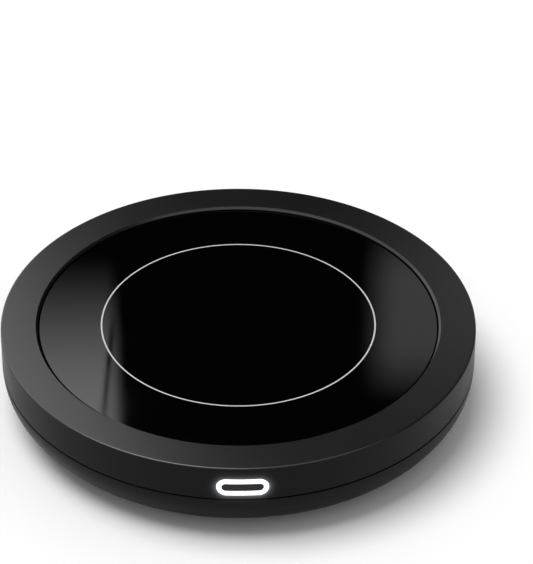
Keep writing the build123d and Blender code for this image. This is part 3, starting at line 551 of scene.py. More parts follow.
def fibre_board():
    """Chalky pad with short fibres that lie mostly one way."""
    material, place = new_surface("ceramic fibre board, pressed")
    drawn = add(material, "Mapping", {"Vector": place, "Scale": (1, 0.3, 1)})
    fibres = add(material, "TexNoise", {
        "Vector": drawn, "Scale": 1 / (0.5 * mm), "Detail": 5.0, "Roughness": 0.7})
    return two_tone(material, fibres, "#c9c4b8", "#f1eee6", 0.08, 0.95, 1.5)


finishes["amber_film"] = heater_foil()
finishes["ceramic_pad"] = fibre_board()
print("heater:", finishes["amber_film"].name, "|", finishes["ceramic_pad"].name)

# %% [markdown]
# The control board is glass-epoxy laminate under green solder mask. The copper tracks under the mask are
# drawn as a jagged grid of cells, whose borders stand a hair proud and look a lighter green.

# %% Circuit board
def solder_mask():
    """Green mask whose raised, lighter bands stand for the tracks under it."""
    material, place = new_surface("solder mask on glass epoxy laminate")
    cells = add(material, "TexVoronoi", {"Vector": place, "Scale": 1 / (5 * mm)},
                feature="F2", distance="CHEBYCHEV")
    bands = add(material, "Math", {0: cells.outputs["Distance"], 1: 9.0}, operation="MULTIPLY")
    wave = add(material, "Math", {0: bands}, operation="SINE")
    track = add(material, "MapRange", {"Value": wave, "From Min": 0.45, "From Max": 0.6})
    return two_tone(material, track, "#14482a", "#2a6e42", 0.03, 0.28, 1.52)


finishes["board_green"] = solder_mask()
print("board:", finishes["board_green"].name)

# %% [markdown]
# Several electrical parts are dipped: in epoxy, in gel or in glaze. Such a skin is smooth and glossy, with
# slow waves where it ran before it set, so it takes a broad noise as bump instead of a fine grain.

# %% Dipped coatings
def coated(name, colour, roughness, lump_mm, relief_mm):
    """Dipped or lacquered skin: smooth and glossy, with the slow waves of a coating that ran and set."""
    material, place = new_surface(name)
    waves = add(material, "TexNoise", {"Vector": place, "Scale": 1 / (lump_mm * mm), "Detail": 2.0})
    relief = add(material, "Bump", {"Height": waves, "Distance": relief_mm * mm})
    shade = add(material, "MapRange", {"Value": waves, "To Min": 0.9, "To Max": 1.1})
    tint = add(material, "VectorMath", {0: linear(colour)[:3], "Scale": shade}, operation="SCALE")
    shader = add(material, "BsdfPrincipled", {
        "Base Color": tint, "Roughness": roughness, "IOR": 1.55, "Normal": relief})
    add(material, "OutputMaterial", {"Surface": shader})
    return material


finishes["varistor_blue"] = coated("epoxy dip coat, blue", "#234f9a", 0.25, 2.5, 0.12)
finishes["sensor_glass"] = coated("glass bead over thermistor", "#3a1d12", 0.12, 1.5, 0.03)
finishes["light_chip"] = coated("phosphor gel over white package", "#e6d98a", 0.3, 0.8, 0.02)
finishes["fuse_glass"] = coated("fuse tube, glazed ceramic", "#d9d4c8", 0.2, 3.0, 0.02)
print(len(finishes), "finishes with the coatings")

# %% [markdown]
# The last finish is the label under the base. It is grey polyester film and stays blank, apart from a thin
# printed frame, which is drawn where the distance to the label's rim is a set one.

# %% Blank label
def label_film():
    """Blank grey polyester label, with a thin printed frame and nothing else on it."""
    material, place = new_surface("polyester label film, matt grey")
    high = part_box("rating_label")[1]
    spot = add(material, "SeparateXYZ", {"Vector": place})
    inset = 1.5 * mm
    line = 0.35 * mm
    edges = []
    for axis, half in (("X", high.x - inset), ("Y", high.y - inset)):
        side = add(material, "Math", {0: spot.outputs[axis]}, operation="ABSOLUTE")
        edges.append(add(material, "Math", {0: side, 1: half}, operation="SUBTRACT"))
    furthest = add(material, "Math", {0: edges[0], 1: edges[1]}, operation="MAXIMUM")
    off_line = add(material, "Math", {0: furthest}, operation="ABSOLUTE")
    frame_line = add(material, "Math", {0: off_line, 1: line / 2}, operation="LESS_THAN")
    grain = add(material, "TexNoise", {"Vector": place, "Scale": 1 / (0.3 * mm), "Detail": 2.0})
    film = add(material, "Mix", {0: grain, 6: linear("#7f8184"), 7: linear("#8d8f92")}, data_type="RGBA")
    tone = add(material, "Mix", {0: frame_line, 6: film.outputs[2], 7: linear("#1a1a1b")}, data_type="RGBA")
    relief = add(material, "Bump", {"Height": grain, "Distance": 0.004 * mm})
    shader = add(material, "BsdfPrincipled", {
        "Base Color": tone.outputs[2], "Roughness": 0.5, "IOR": 1.6, "Normal": relief})
    add(material, "OutputMaterial", {"Surface": shader})
    return material


finishes["label_film"] = label_film()
print(len(finishes), "finishes in all")

# %% [markdown]
# Every CAD node carries the name of its finish. Each one gets its material now, and the nodes whose shape
# is already right need nothing more.

# %% Dress the CAD nodes
slot_of = {name: node.data.materials[0].name for name, node in nodes.items()}
for name, node in nodes.items():
    node.data.materials[0] = finishes[slot_of[name]]
print("finishes on nodes:", sorted(set(slot_of.values())))

# %% [markdown]
# ## Turned shapes
# Nearly every part of this object is round, so most pieces start as an outline in radius and height that
# is spun round the upright axis. Real moulded and ground edges are never sharp: each corner of an outline
# has its own small rounding, and a formula puts the arc in.

# %% Helpers for outlines
ROUND_STEPS = 5


def rounded_outline(corners):
    """Points of an outline whose corners are (radius, height, rounding), all in metres."""
    outline = []
    for index, (r, z, rounding) in enumerate(corners):
        corner = Vector((r, z))
        if rounding == 0:
            outline.append(corner)
            continue
        before = (Vector(corners[index - 1][:2]) - corner).normalized()
        after = (Vector(corners[(index + 1) % len(corners)][:2]) - corner).normalized()
        half_angle = before.angle(after) / 2
        reach = rounding / tan(half_angle)
        centre = corner + (before + after).normalized() * rounding / sin(half_angle)
        start = corner + before * reach - centre
        end = corner + after * reach - centre
        for step in range(ROUND_STEPS + 1):
            outline.append(centre + start.slerp(end, step / ROUND_STEPS).normalized() * rounding)
    return outline


def arc_points(centre, radius, from_angle, to_angle, steps):
    """Points of an arc in radius and height, with its ends."""
    turns = [radians(from_angle + (to_angle - from_angle) * step / steps) for step in range(steps + 1)]
    return [Vector((centre[0] + radius * cos(turn), centre[1] + radius * sin(turn))) for turn in turns]


def disc_outline(radius, low, high, rounding=0.0):
    """Open outline of a solid disc, from the axis at the bottom to the axis at the top."""
    return rounded_outline([(0, low, 0), (radius, low, rounding), (radius, high, rounding), (0, high, 0)])


def tube_outline(inner, outer, low, high, rounding=0.0):
    """Closed outline of a tube."""
    return rounded_outline([(inner, low, rounding), (outer, low, rounding),
                            (outer, high, rounding), (inner, high, rounding)])


def round_places(radius, angles):
    """Points on a circle round the upright axis."""
    return [(radius * cos(radians(angle)), radius * sin(radians(angle))) for angle in angles]

# %% [markdown]
# A solid is an outline spun round, a block, or a flat face drawn out, and larger ones are joined or carved
# from several. Operators work in place, so most of these helpers hand back the shape they worked on.
# Carving needs a true boolean. Blender has it as a modifier, so two shapes become objects for a moment.

# %% Helpers for solids
MERGE_DISTANCE = 0.0005 * mm


def outward(shape):
    """Turns the faces of a closed shape outwards."""
    bmesh.ops.recalc_face_normals(shape, faces=shape.faces)
    if shape.calc_volume(signed=True) < 0:
        bmesh.ops.reverse_faces(shape, faces=shape.faces)
    return shape


def spun(outline, steps=64, centre=(0, 0)):
    """A bmesh of the outline spun round an upright axis through centre.

    An outline that starts on the axis stays open there; any other one is closed."""
    shape = bmesh.new()
    ring = [shape.verts.new((r, 0, z)) for r, z in outline]
    edges = [shape.edges.new(pair) for pair in zip(ring, ring[1:])]
    if outline[0][0] > 0:
        edges.append(shape.edges.new((ring[-1], ring[0])))
    bmesh.ops.spin(shape, geom=ring + edges, cent=(0, 0, 0), axis=(0, 0, 1), dvec=(0, 0, 0),
                   angle=2 * pi, steps=steps, use_merge=True, use_duplicate=False)
    bmesh.ops.remove_doubles(shape, verts=shape.verts, dist=0.0001 * mm)
    bmesh.ops.translate(shape, verts=shape.verts, vec=(centre[0], centre[1], 0))
    return outward(shape)


def block(centre, size, turn=0.0, rounding=0.0):
    """A bmesh of a box, turned by degrees about its upright axis, with bevelled edges."""
    shape = bmesh.new()
    place = Matrix.Translation(centre) @ Matrix.Rotation(radians(turn), 4, "Z") @ Matrix.Diagonal((*size, 1))
    bmesh.ops.create_cube(shape, size=1.0, matrix=place)
    if rounding:
        bmesh.ops.bevel(shape, geom=shape.edges, offset=rounding, segments=2, profile=0.5,
                        affect="EDGES", material=-1)
    return shape


def placed(shape, matrix):
    """The shape, moved and turned by a matrix."""
    bmesh.ops.transform(shape, verts=shape.verts, matrix=matrix)
    return shape


def kept(items, kind):
    """The items of one kind, out of all that an operator made."""
    return [item for item in items if isinstance(item, kind)]


def extruded(shape, faces, way):
    """Grows flat faces into a solid along a vector, and returns the points of its far end."""
    far_end = kept(bmesh.ops.extrude_face_region(shape, geom=faces)["geom"], bmesh.types.BMVert)
    bmesh.ops.translate(shape, verts=far_end, vec=way)
    return far_end


def slot_loop(half_length, radius, segments, cuts):
    """A flat loop: a circle pulled apart into two round ends, its straight sides cut finely."""
    shape = bmesh.new()
    bmesh.ops.create_circle(shape, segments=segments, radius=radius,
                            matrix=Matrix.Rotation(pi / segments, 4, "Z"))
    for vert in shape.verts:
        vert.co.x += half_length if vert.co.x > 0 else -half_length
    straight = [edge for edge in shape.edges if edge.calc_length() > half_length]
    bmesh.ops.subdivide_edges(shape, edges=straight, cuts=cuts)
    return shape


def joined(shapes):
    """One bmesh that holds several closed shapes."""
    whole = bmesh.new()
    for shape in shapes:
        part = bpy.data.meshes.new("part")
        shape.to_mesh(part)
        shape.free()
        whole.from_mesh(part)
        bpy.data.meshes.remove(part)
    return whole


def carved(shape, tool, operation="DIFFERENCE"):
    """The shape with the tool's solids taken out of it, added to it or kept in common with it."""
    pair = []
    for name, source in (("work", shape), ("tool", tool)):
        mesh = bpy.data.meshes.new(name)
        source.to_mesh(mesh)
        source.free()
        pair.append(bpy.data.objects.new(name, mesh))
        bpy.context.scene.collection.objects.link(pair[-1])
    work, cutter = pair
    cut = work.modifiers.new("cut", "BOOLEAN")
    cut.operation = operation
    cut.solver = "EXACT"
    cut.object = cutter
    bpy.context.view_layer.update()
    result = bmesh.new()
    result.from_object(work, bpy.context.evaluated_depsgraph_get())
    for item in pair:
        mesh = item.data
        bpy.data.objects.remove(item)
        bpy.data.meshes.remove(mesh)
    bmesh.ops.remove_doubles(result, verts=result.verts, dist=MERGE_DISTANCE)
    bmesh.ops.dissolve_degenerate(result, edges=result.edges, dist=MERGE_DISTANCE)
    return result


def set_of(shape, spots, z, turn=Matrix()):
    """Copies of one shape at several spots, as one bmesh."""
    copies = [placed(shape.copy(), Matrix.Translation((x, y, z)) @ turn) for x, y in spots]
    shape.free()
    return joined(copies)

# %% [markdown]
# A finished shape becomes an object that shades smoothly, except over sharp edges. It takes the finish of the
# CAD node it stands for and hides that node, and, unless it spans two heights, rides on the node's body.

# %% A finished piece
SHARP_ANGLE = radians(30)


def make_piece(name, shape, node, spans=None):
    """Turns a bmesh into a finished object that stands for a CAD node and moves with its body.

    A piece that spans two heights is attached to no body and keeps the place it was built in."""
    mesh = bpy.data.meshes.new(name)
    shape.to_mesh(mesh)
    shape.free()
    mesh.polygons.foreach_set("use_smooth", [True] * len(mesh.polygons))
    mesh.set_sharp_from_angle(angle=SHARP_ANGLE)
    piece = bpy.data.objects.new(name, mesh)
    bpy.context.scene.collection.objects.link(piece)
    even = piece.modifiers.new("even_shading", "WEIGHTED_NORMAL")
    even.keep_sharp = True
    mesh.materials.append(finishes[slot_of[node]])
    if spans is None:
        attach(piece, nodes[node]["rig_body"])
    else:
        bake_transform(piece)
    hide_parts(node)
    print(f"{name}: {len(mesh.polygons)} faces for {node}")
    return piece

# %% [markdown]
# ## The upper housing
# It is one moulding: the wide ring round the plate, the side band with its rounded top edge, and the
# collar that drops inside round the glass. Under the ring hang four screw bosses, short ribs, and two
# grooved rails for the switch board. The band is spun whole and the button's slot is cut out of it.

# %% Sizes of the housings
SHELL_STEPS = 256
foot_lift = 1.2 * mm
wall = 2.2 * mm
top_thickness = 2.4 * mm
skirt_depth = 2.6 * mm
skirt_thickness = 1.2 * mm
plate_gap = 0.3 * mm
rim_chamfer = 0.58 * mm
seam_z = 13.5 * mm
band_z = 13.9 * mm
seam_depth = 1.1 * mm
wall_radius = outer_radius - wall
opening_radius = glass_radius + plate_gap
skirt_radius = opening_radius + skirt_thickness
under_top_z = top_z - top_thickness
boss_joint_z = seam_z - 2.0 * mm
boss_radius = 2.8 * mm
quarter_angles = (45, 135, 225, 315)
boss_circle = 58.5 * mm
guide_circle = 45.0 * mm
boss_spots = round_places(boss_circle, quarter_angles)
guide_spots = round_places(guide_circle, quarter_angles)
screw_radius = 1.25 * mm
rib_thickness = 1.2 * mm
lip_x, lip_size = 11.2 * mm, (2.4 * mm, 1.2 * mm, 7.8 * mm)
rail_x, rail_y, rail_size = 11.8 * mm, -57.0 * mm, (1.2 * mm, 3.4 * mm, 7.8 * mm)
print(f"wall {wall / mm:.1f} mm, opening {2 * opening_radius / mm:.1f} mm across")


def stadium(width, height, y):
    """A closed loop of a rounded slot in the front plane y, centred on the button."""
    return placed(slot_loop((width - height) / 2, height / 2, 48, 14),
                  Matrix.Translation((0, y, button_z)) @ Matrix.Rotation(pi / 2, 4, "X"))

# %% Upper housing
top_outline = rounded_outline([
    (wall_radius, under_top_z, 0),
    (wall_radius, seam_z, 0.1 * mm),
    (outer_radius - seam_depth, seam_z, 0.05 * mm),
    (outer_radius - seam_depth, band_z, 0),
    (outer_radius, band_z, 0.15 * mm),
    (outer_radius, top_z, 0.45 * mm),
    (opening_radius + rim_chamfer, top_z, 0),
    (opening_radius, top_z - rim_chamfer, 0),
    (opening_radius, under_top_z - skirt_depth, 0.2 * mm),
    (skirt_radius, under_top_z - skirt_depth, 0.2 * mm),
    (skirt_radius, under_top_z, 0),
])
slot_clearance = 0.3 * mm
cut_depth = 13 * mm
button_slot = stadium(button_width + slot_clearance, button_height + slot_clearance, -outer_radius - 5 * mm)
slot_face = bmesh.ops.contextual_create(button_slot, geom=button_slot.edges)["faces"]
extruded(button_slot, slot_face, (0, cut_depth, 0))
upper_shapes = [carved(spun(top_outline, SHELL_STEPS), outward(button_slot))]
boss = tube_outline(screw_radius, boss_radius, boss_joint_z, under_top_z + 0.2 * mm, 0.1 * mm)
upper_shapes += [spun(boss, 32, spot) for spot in boss_spots]
rib_size = (wall_radius - skirt_radius + 0.6 * mm, rib_thickness, 2.4 * mm)
rib_angles = [side + step for side in (0, 90, 180) for step in (-22, 0, 22)] + [245, 295]
for angle in rib_angles:
    x, y = round_places((skirt_radius + wall_radius) / 2, [angle])[0]
    upper_shapes.append(block((x, y, under_top_z - 1.0 * mm), rib_size, angle, 0.15 * mm))
board_low, board_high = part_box("switch_board")
rail_z = under_top_z - 3.8 * mm
for side in (-1, 1):
    for lip_y in (board_low.y - 0.7 * mm, board_high.y + 0.6 * mm):
        upper_shapes.append(block((side * lip_x, lip_y, rail_z), lip_size, 0, 0.1 * mm))
    upper_shapes.append(block((side * rail_x, rail_y, rail_z), rail_size, 0, 0.1 * mm))
make_piece("top_shell", joined(upper_shapes), "upper_housing")

# %% [markdown]
# ## The lower housing
# The bowl curves in under the seam to a flat floor. Its outline is spun like the upper one, with the
# curve as a true quarter arc. Then it is worked like a casting: bosses are added inside, trimmed to the
# bowl, and the sockets, vents and gland hole are cut from below and behind.

# %% Lower housing outline
bowl_curve = seam_z - 0.2 * mm - foot_lift
flat_radius = outer_radius - bowl_curve
curve_z = foot_lift + bowl_curve
floor_z = foot_lift + wall
lap_radius = wall_radius - 0.2 * mm
lap_inner_radius = lap_radius - 1.1 * mm
lap_top_z = seam_z + 2.0 * mm
lap_angle = degrees(acos((lap_inner_radius - flat_radius) / (bowl_curve - wall)))
lip_corners = rounded_outline([
    (outer_radius, curve_z, 0),
    (outer_radius, seam_z, 0.12 * mm),
    (lap_radius, seam_z, 0.05 * mm),
    (lap_radius, lap_top_z, 0.15 * mm),
    (lap_inner_radius, lap_top_z, 0.15 * mm),
    (lap_inner_radius, curve_z - (bowl_curve - wall) * sin(radians(lap_angle)), 0),
])
floor_radii = (0, 20 * mm, 40 * mm)
bowl_outline = ([Vector((r, foot_lift)) for r in floor_radii]
                + arc_points((flat_radius, curve_z), bowl_curve, -90, 0, 28) + lip_corners[1:]
                + arc_points((flat_radius, curve_z), bowl_curve - wall, -lap_angle, -90, 20)[1:]
                + [Vector((r, floor_z)) for r in reversed(floor_radii)])
bowl = spun(bowl_outline, SHELL_STEPS)
print("bowl outline:", len(bowl_outline), "points")

# %% Bosses inside the lower housing
ledge_z = floor_z + 2.0 * mm
guide_top_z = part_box("return_springs")[0].z
board_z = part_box("control_board")[0].z
screw_head_radius = 2.4 * mm
screw_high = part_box("board_screws")[1]
board_spots = [(x * (screw_high.x - screw_head_radius), y * (screw_high.y - screw_head_radius))
               for x in (-1, 1) for y in (-1, 1)]
inside_z = foot_lift + wall / 2
guide_step_z = ledge_z + 2 * mm
guide_base_radius = 5.5 * mm
guide_radius = 4.2 * mm
guide = rounded_outline([
    (0, inside_z, 0), (guide_base_radius, inside_z, 0), (guide_base_radius, guide_step_z, 0.2 * mm),
    (guide_radius, guide_step_z, 0), (guide_radius, guide_top_z, 0.15 * mm), (0, guide_top_z, 0)])
seat_boss = disc_outline(3.6 * mm, foot_lift, boss_joint_z, 0.1 * mm)
board_boss = disc_outline(boss_radius, foot_lift, board_z, 0.1 * mm)
bosses = [spun(outline, steps, spot) for outline, steps, spots in
          ((guide, 48, guide_spots), (seat_boss, 40, boss_spots), (board_boss, 32, board_spots))
          for spot in spots]
trim_outline = ([Vector((0, inside_z))]
                + arc_points((flat_radius, curve_z), bowl_curve - wall / 2, -90, 0, 24)
                + [Vector((outer_radius - wall / 2, top_z)), Vector((0, top_z))])
trimmed = carved(joined(bosses), spun(trim_outline, 128), "INTERSECT")
housing = carved(bowl, trimmed, "UNION")
print("bosses joined:", len(housing.faces), "faces")

# %% Gland pad and round holes
gland_z = next(mount["pos_m"][2] for mount in frame["record"]["mounts"] if mount["name"] == "cord_gland")
pad_y = outer_radius - 1.2 * mm
pad_inner_y = pad_y - 4.0 * mm
neck_radius = 3.4 * mm
lip_clearance_radius = 4.5 * mm
flange_clearance_radius = 5.3 * mm


def rearward(outline):
    """Spins an outline of the gland and lays it along +Y, at the height of the gland."""
    return placed(spun(outline), Matrix.Translation((0, 0, gland_z)) @ Matrix.Rotation(-pi / 2, 4, "X"))


def stepped(*steps):
    """Open outline of a stepped hole: each step is a radius with the height where it ends."""
    low = steps[0]
    corners = [(0, low, 0)]
    for radius, high in steps[1:]:
        corners += [(radius, low, 0), (radius, high, 0)]
        low = high
    return rounded_outline(corners + [(0, low, 0)])


housing = carved(housing, rearward(disc_outline(5.0 * mm, pad_inner_y, pad_y)), "UNION")
cuts = [rearward(stepped(pad_y - 8 * mm, (lip_clearance_radius, pad_inner_y), (neck_radius, pad_y),
                         (flange_clearance_radius, pad_y + 4 * mm)))]
notch_size = (25.2 * mm, 18 * mm, 4 * mm)
cuts.append(block((0, -outer_radius, seam_z + 2 * mm), notch_size))
seat_z = boss_joint_z - 4.3 * mm
socket_radius = 7.1 * mm
head_bore_radius = 3.8 * mm
post_bore_radius = 2.6 * mm
shank_bore_radius = 1.45 * mm
foot_hole = stepped(foot_lift - 1 * mm, (socket_radius, foot_lift + 0.8 * mm), (head_bore_radius, ledge_z),
                    (post_bore_radius, guide_top_z + 1 * mm))
seat_hole = stepped(0, (post_bore_radius, seat_z), (shank_bore_radius, boss_joint_z + 1 * mm))
board_hole = disc_outline(screw_radius, board_z - 1.8 * mm, board_z + 1 * mm)
cuts += [spun(outline, steps, spot) for outline, steps, spots in
         ((foot_hole, 48, guide_spots), (seat_hole, 40, boss_spots), (board_hole, 24, board_spots))
         for spot in spots]
print("round cuts:", len(cuts) - 1)

# %% [markdown]
# The vents are slots that follow the round floor. Each starts as a straight slot with round ends, made
# solid, and is then bent: what was length becomes an angle round the axis. The label gets a flat recess
# with round corners. Webs tie the guides to the screw bosses, and two stops carry the switch board.

# %% Vents, label recess and webs
VENT_HALF_ANGLE = 18
VENT_WIDTH = 1.8 * mm


def arc_slot(radius, middle_angle, low, high):
    """A solid curved slot with round ends: a straight one, bent round the upright axis."""
    shape = slot_loop(radius * radians(VENT_HALF_ANGLE), VENT_WIDTH / 2, 16, 16)
    extruded(shape, bmesh.ops.contextual_create(shape, geom=shape.edges)["faces"], (0, 0, high - low))
    for vert in shape.verts:
        turn = radians(middle_angle) - vert.co.x / radius
        reach = radius + vert.co.y
        vert.co = Vector((reach * cos(turn), reach * sin(turn), low + vert.co.z))
    return outward(shape)


cuts += [arc_slot(radius, side, foot_lift - 1 * mm, floor_z + 1 * mm)
         for side in (0, 90, 180, 270) for radius in (30 * mm, 34 * mm, 38 * mm)]
label_size = (44 * mm, 22 * mm, 2.0 * mm)
label_corner = 2 * mm
label_recess = block((0, 0, foot_lift - 0.8 * mm), label_size)
upright = [edge for edge in label_recess.edges if abs(edge.verts[0].co.z - edge.verts[1].co.z) > 1 * mm]
bmesh.ops.bevel(label_recess, geom=upright, offset=label_corner, segments=8, profile=0.5,
                affect="EDGES", material=-1)
housing = carved(housing, joined(cuts + [label_recess]))
stop_x, stop_foot_z = 8.0 * mm, 4.0 * mm
web_size = (boss_circle - guide_circle - guide_radius, rib_thickness, guide_step_z - inside_z)
stop_size = (2.0 * mm, rib_thickness, board_low.z - stop_foot_z)
webs = []
for angle in quarter_angles:
    x, y = round_places((guide_circle + boss_circle) / 2, [angle])[0]
    webs.append(block((x, y, (inside_z + guide_step_z) / 2), web_size, angle, 0.1 * mm))
for side in (-1, 1):
    stop_place = (side * stop_x, board_low.y + 0.6 * mm, (board_low.z + stop_foot_z) / 2)
    webs.append(block(stop_place, stop_size, 0, 0.1 * mm))
make_piece("bottom_shell", joined([housing] + webs), "lower_housing")

# %% [markdown]
# ## The plate and its printed circle
# The glass is ground all round its top edge, and the circle is enamel in a hair-deep groove. Both are
# turned shapes: the glass from the axis out, the ink as a thin tube that fills the groove.

# %% Glass plate and circle
zone_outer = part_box("zone_ring")[1].x
zone_inner = zone_outer - 0.4 * mm
groove_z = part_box("zone_ring")[0].z
bevel = 0.18 * mm
glass_outline = rounded_outline([
    (0, glass_z, 0),
    (glass_radius, glass_z, 0.15 * mm),
    (glass_radius, glass_top_z - bevel, 0.08 * mm),
    (glass_radius - bevel, glass_top_z, 0.08 * mm),
    (glass_radius - 4 * bevel, glass_top_z, 0),
    (zone_outer, glass_top_z, 0),
    (zone_outer, groove_z, 0),
    (zone_inner, groove_z, 0),
    (zone_inner, glass_top_z, 0),
    (0, glass_top_z, 0),
])
plate_glass = make_piece("plate_glass", spun(glass_outline, SHELL_STEPS), "glass_plate")
zone_outline = tube_outline(zone_inner, zone_outer, groove_z, glass_top_z)
make_piece("zone_circle", spun(zone_outline, SHELL_STEPS), "zone_ring")

# %% [markdown]
# From straight above, the glass would mirror the disc of the sun and turn pale. A photographer flags the
# lamp off the glass. Light linking does the same here: the glass is the one receiver that the sun skips.

# %% Flag the sun off the glass
flagged = bpy.data.collections.new("flagged_off_sun")
flagged.objects.link(plate_glass)
sun.light_linking.receiver_collection = flagged
flagged.collection_objects[0].light_linking.link_state = "EXCLUDE"

# %% [markdown]
# ## The button
# The button is a milky ring with a dark middle, both rounded to the curve of the side band. Each starts
# as a flat slot shape, gets its edge bevelled, and is then wrapped: every point of its face moves back by
# what the band's curve falls away at that place.

# %% Light ring and cap
button_size = (button_width, button_height)
cap_size = (11.0 * mm, 2.25 * mm)
flange_front = wall_radius - 0.2 * mm
flange_y = flange_front - 1.4 * mm
cap_clearance = 0.06 * mm
flange_margin, flange_overlap = 1.8 * mm, 0.2 * mm
stem_radius = 1.3 * mm
NEAR = 1e-7
ALMOST_FLAT = 1e3


def grown_by(size, amount):
    """A width and height, both made larger by one amount."""
    return tuple(side + amount for side in size)


def slot_prism(outer, inner, y_front, y_back, edge, radius):
    """A slot-shaped solid or ring whose front is bevelled and follows a circle of the given radius."""
    shape = joined([stadium(*size, y_front) for size in (outer, inner) if size])
    if inner:
        faces = bmesh.ops.bridge_loops(shape, edges=shape.edges)["faces"]
    else:
        faces = bmesh.ops.contextual_create(shape, geom=shape.edges)["faces"]
    extruded(shape, faces, (0, y_back - y_front, 0))
    bmesh.ops.dissolve_limit(shape, angle_limit=0.001, verts=[], edges=[])
    outward(shape)
    rims = [item for item in shape.edges if len(item.link_faces) == 2
            and all(abs(vert.co.y - y_front) < NEAR for vert in item.verts)
            and abs(item.link_faces[0].normal.dot(item.link_faces[1].normal)) < 0.5]
    if edge:
        bmesh.ops.bevel(shape, geom=rims, offset=edge, segments=4, profile=0.5, affect="EDGES", material=-1)
    for vert in shape.verts:
        if abs(vert.co.y - y_back) > NEAR:
            vert.co.y += radius - sqrt(radius ** 2 - vert.co.x ** 2)
    return shape


ring_shapes = [
    slot_prism(button_size, grown_by(cap_size, cap_clearance), -outer_radius, -flange_y, 0.12 * mm,
               outer_radius),
    slot_prism(grown_by(button_size, flange_margin), grown_by(button_size, -flange_overlap),
               -flange_front, -flange_y, 0.1 * mm, flange_front),
]
make_piece("light_guide_ring", joined(ring_shapes), "button_light_ring")
stem_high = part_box("button_cap")[1].y
stem = placed(spun(disc_outline(stem_radius, -0.05 * mm, stem_high + flange_y, 0.1 * mm), 32),
              Matrix.Translation((0, -flange_y, button_z)) @ Matrix.Rotation(-pi / 2, 4, "X"))
cap_shapes = [
    slot_prism(cap_size, None, -outer_radius, -flange_y, 0.08 * mm, outer_radius),
    slot_prism(grown_by(cap_size, 1.6 * mm), None, -flange_y, -flange_y + 0.3 * mm, 0, ALMOST_FLAT),
    stem,
]
make_piece("button_middle", joined(cap_shapes), "button_cap")

# %% [markdown]
# ## Feet and gland
# Four rubber feet sit in shallow sockets. Their soles are turned with two grooves, which grip and let air
# out. The gland behind is a rubber grommet with a rounded flange outside and a lip inside.

# %% Rubber feet and cord gland
foot_radius = 7.0 * mm
foot_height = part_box("rubber_feet")[1].z
groove_depth = 0.35 * mm
sole = rounded_outline([
    (0, groove_depth, 0), (2.0 * mm, groove_depth, 0.1 * mm), (2.3 * mm, 0, 0.12 * mm),
    (3.9 * mm, 0, 0.12 * mm), (4.2 * mm, groove_depth, 0.1 * mm), (4.7 * mm, groove_depth, 0.1 * mm),
    (5.0 * mm, 0, 0.12 * mm), (foot_radius - 0.3 * mm, 0, 0.2 * mm), (foot_radius, 0.3 * mm, 0.2 * mm),
    (foot_radius, foot_height, 0.1 * mm), (0, foot_height, 0)])
make_piece("feet", joined([spun(sole, 64, spot) for spot in guide_spots]), "rubber_feet")
gland_bore = 2.6 * mm
lip_radius = 3.9 * mm
gland_lip_y = pad_y - 5.4 * mm
flange_radius = 4.4 * mm
gland_outline = rounded_outline([
    (gland_bore, gland_lip_y, 0.2 * mm), (lip_radius, gland_lip_y, 0.3 * mm),
    (lip_radius, pad_inner_y, 0.1 * mm), (neck_radius, pad_inner_y, 0.05 * mm),
    (neck_radius, pad_y, 0.05 * mm), (flange_radius, pad_y, 0.1 * mm),
    (flange_radius, outer_radius, 0.5 * mm), (3.1 * mm, outer_radius, 0.2 * mm),
    (gland_bore, outer_radius - 0.6 * mm, 0.2 * mm)])
make_piece("gland", rearward(gland_outline), "cord_gland")

# %% [markdown]
# ## Screws
# Every screw has a domed head with a cross recess and a rolled thread. The recess is a plus-shaped
# cutter: a square whose four sides are pushed out, then drawn down to a smaller end. The thread is a
# small triangle spun with a rise for each step, round a plain core.

# %% A screw
SCREW_STEPS = 32
THREAD_PITCH = 0.8 * mm
CORE_SHARE = 0.78
CUT_MARGIN = 0.001 * mm
UPSIDE_DOWN = Matrix.Rotation(pi, 4, "X")
CROSS_LENGTH, CROSS_WIDTH, CROSS_DEPTH = 3.1 * mm, 0.8 * mm, 1.0 * mm


def cross_cutter():
    """A tapered plus-shaped block that reaches down from the origin."""
    shape = bmesh.new()
    bmesh.ops.create_grid(shape, x_segments=1, y_segments=1, size=CROSS_WIDTH / 2)
    for edge in list(shape.edges):
        out = (edge.verts[0].co + edge.verts[1].co).normalized() * (CROSS_LENGTH - CROSS_WIDTH) / 2
        arm = bmesh.ops.extrude_edge_only(shape, edges=[edge])["geom"]
        bmesh.ops.translate(shape, verts=kept(arm, bmesh.types.BMVert), vec=out)
    bmesh.ops.dissolve_faces(shape, faces=shape.faces)
    tip = extruded(shape, shape.faces, (0, 0, -CROSS_DEPTH))
    bmesh.ops.scale(shape, verts=tip, vec=(0.6, 0.6, 1))
    bmesh.ops.translate(shape, verts=shape.verts, vec=(0, 0, CUT_MARGIN))
    return outward(shape)


def thread(core, high):
    """A helical ridge round the core, from the origin up."""
    shape = bmesh.new()
    foot = core * 0.98
    half_foot = THREAD_PITCH * 0.42
    ring = [shape.verts.new((r, 0, THREAD_PITCH / 2 + z))
            for r, z in ((foot, -half_foot), (screw_radius, 0), (foot, half_foot))]
    edges = [shape.edges.new(pair) for pair in zip(ring, ring[1:] + ring[:1])]
    shape.faces.new(ring)
    turns = (high - THREAD_PITCH) / THREAD_PITCH
    steps = round(16 * turns)
    made = bmesh.ops.spin(shape, geom=ring + edges, cent=(0, 0, 0), axis=(0, 0, 1),
                          dvec=(0, 0, turns * THREAD_PITCH / steps), angle=2 * pi * turns, steps=steps)
    bmesh.ops.contextual_create(shape, geom=kept(made["geom_last"], bmesh.types.BMEdge))
    return outward(shape)


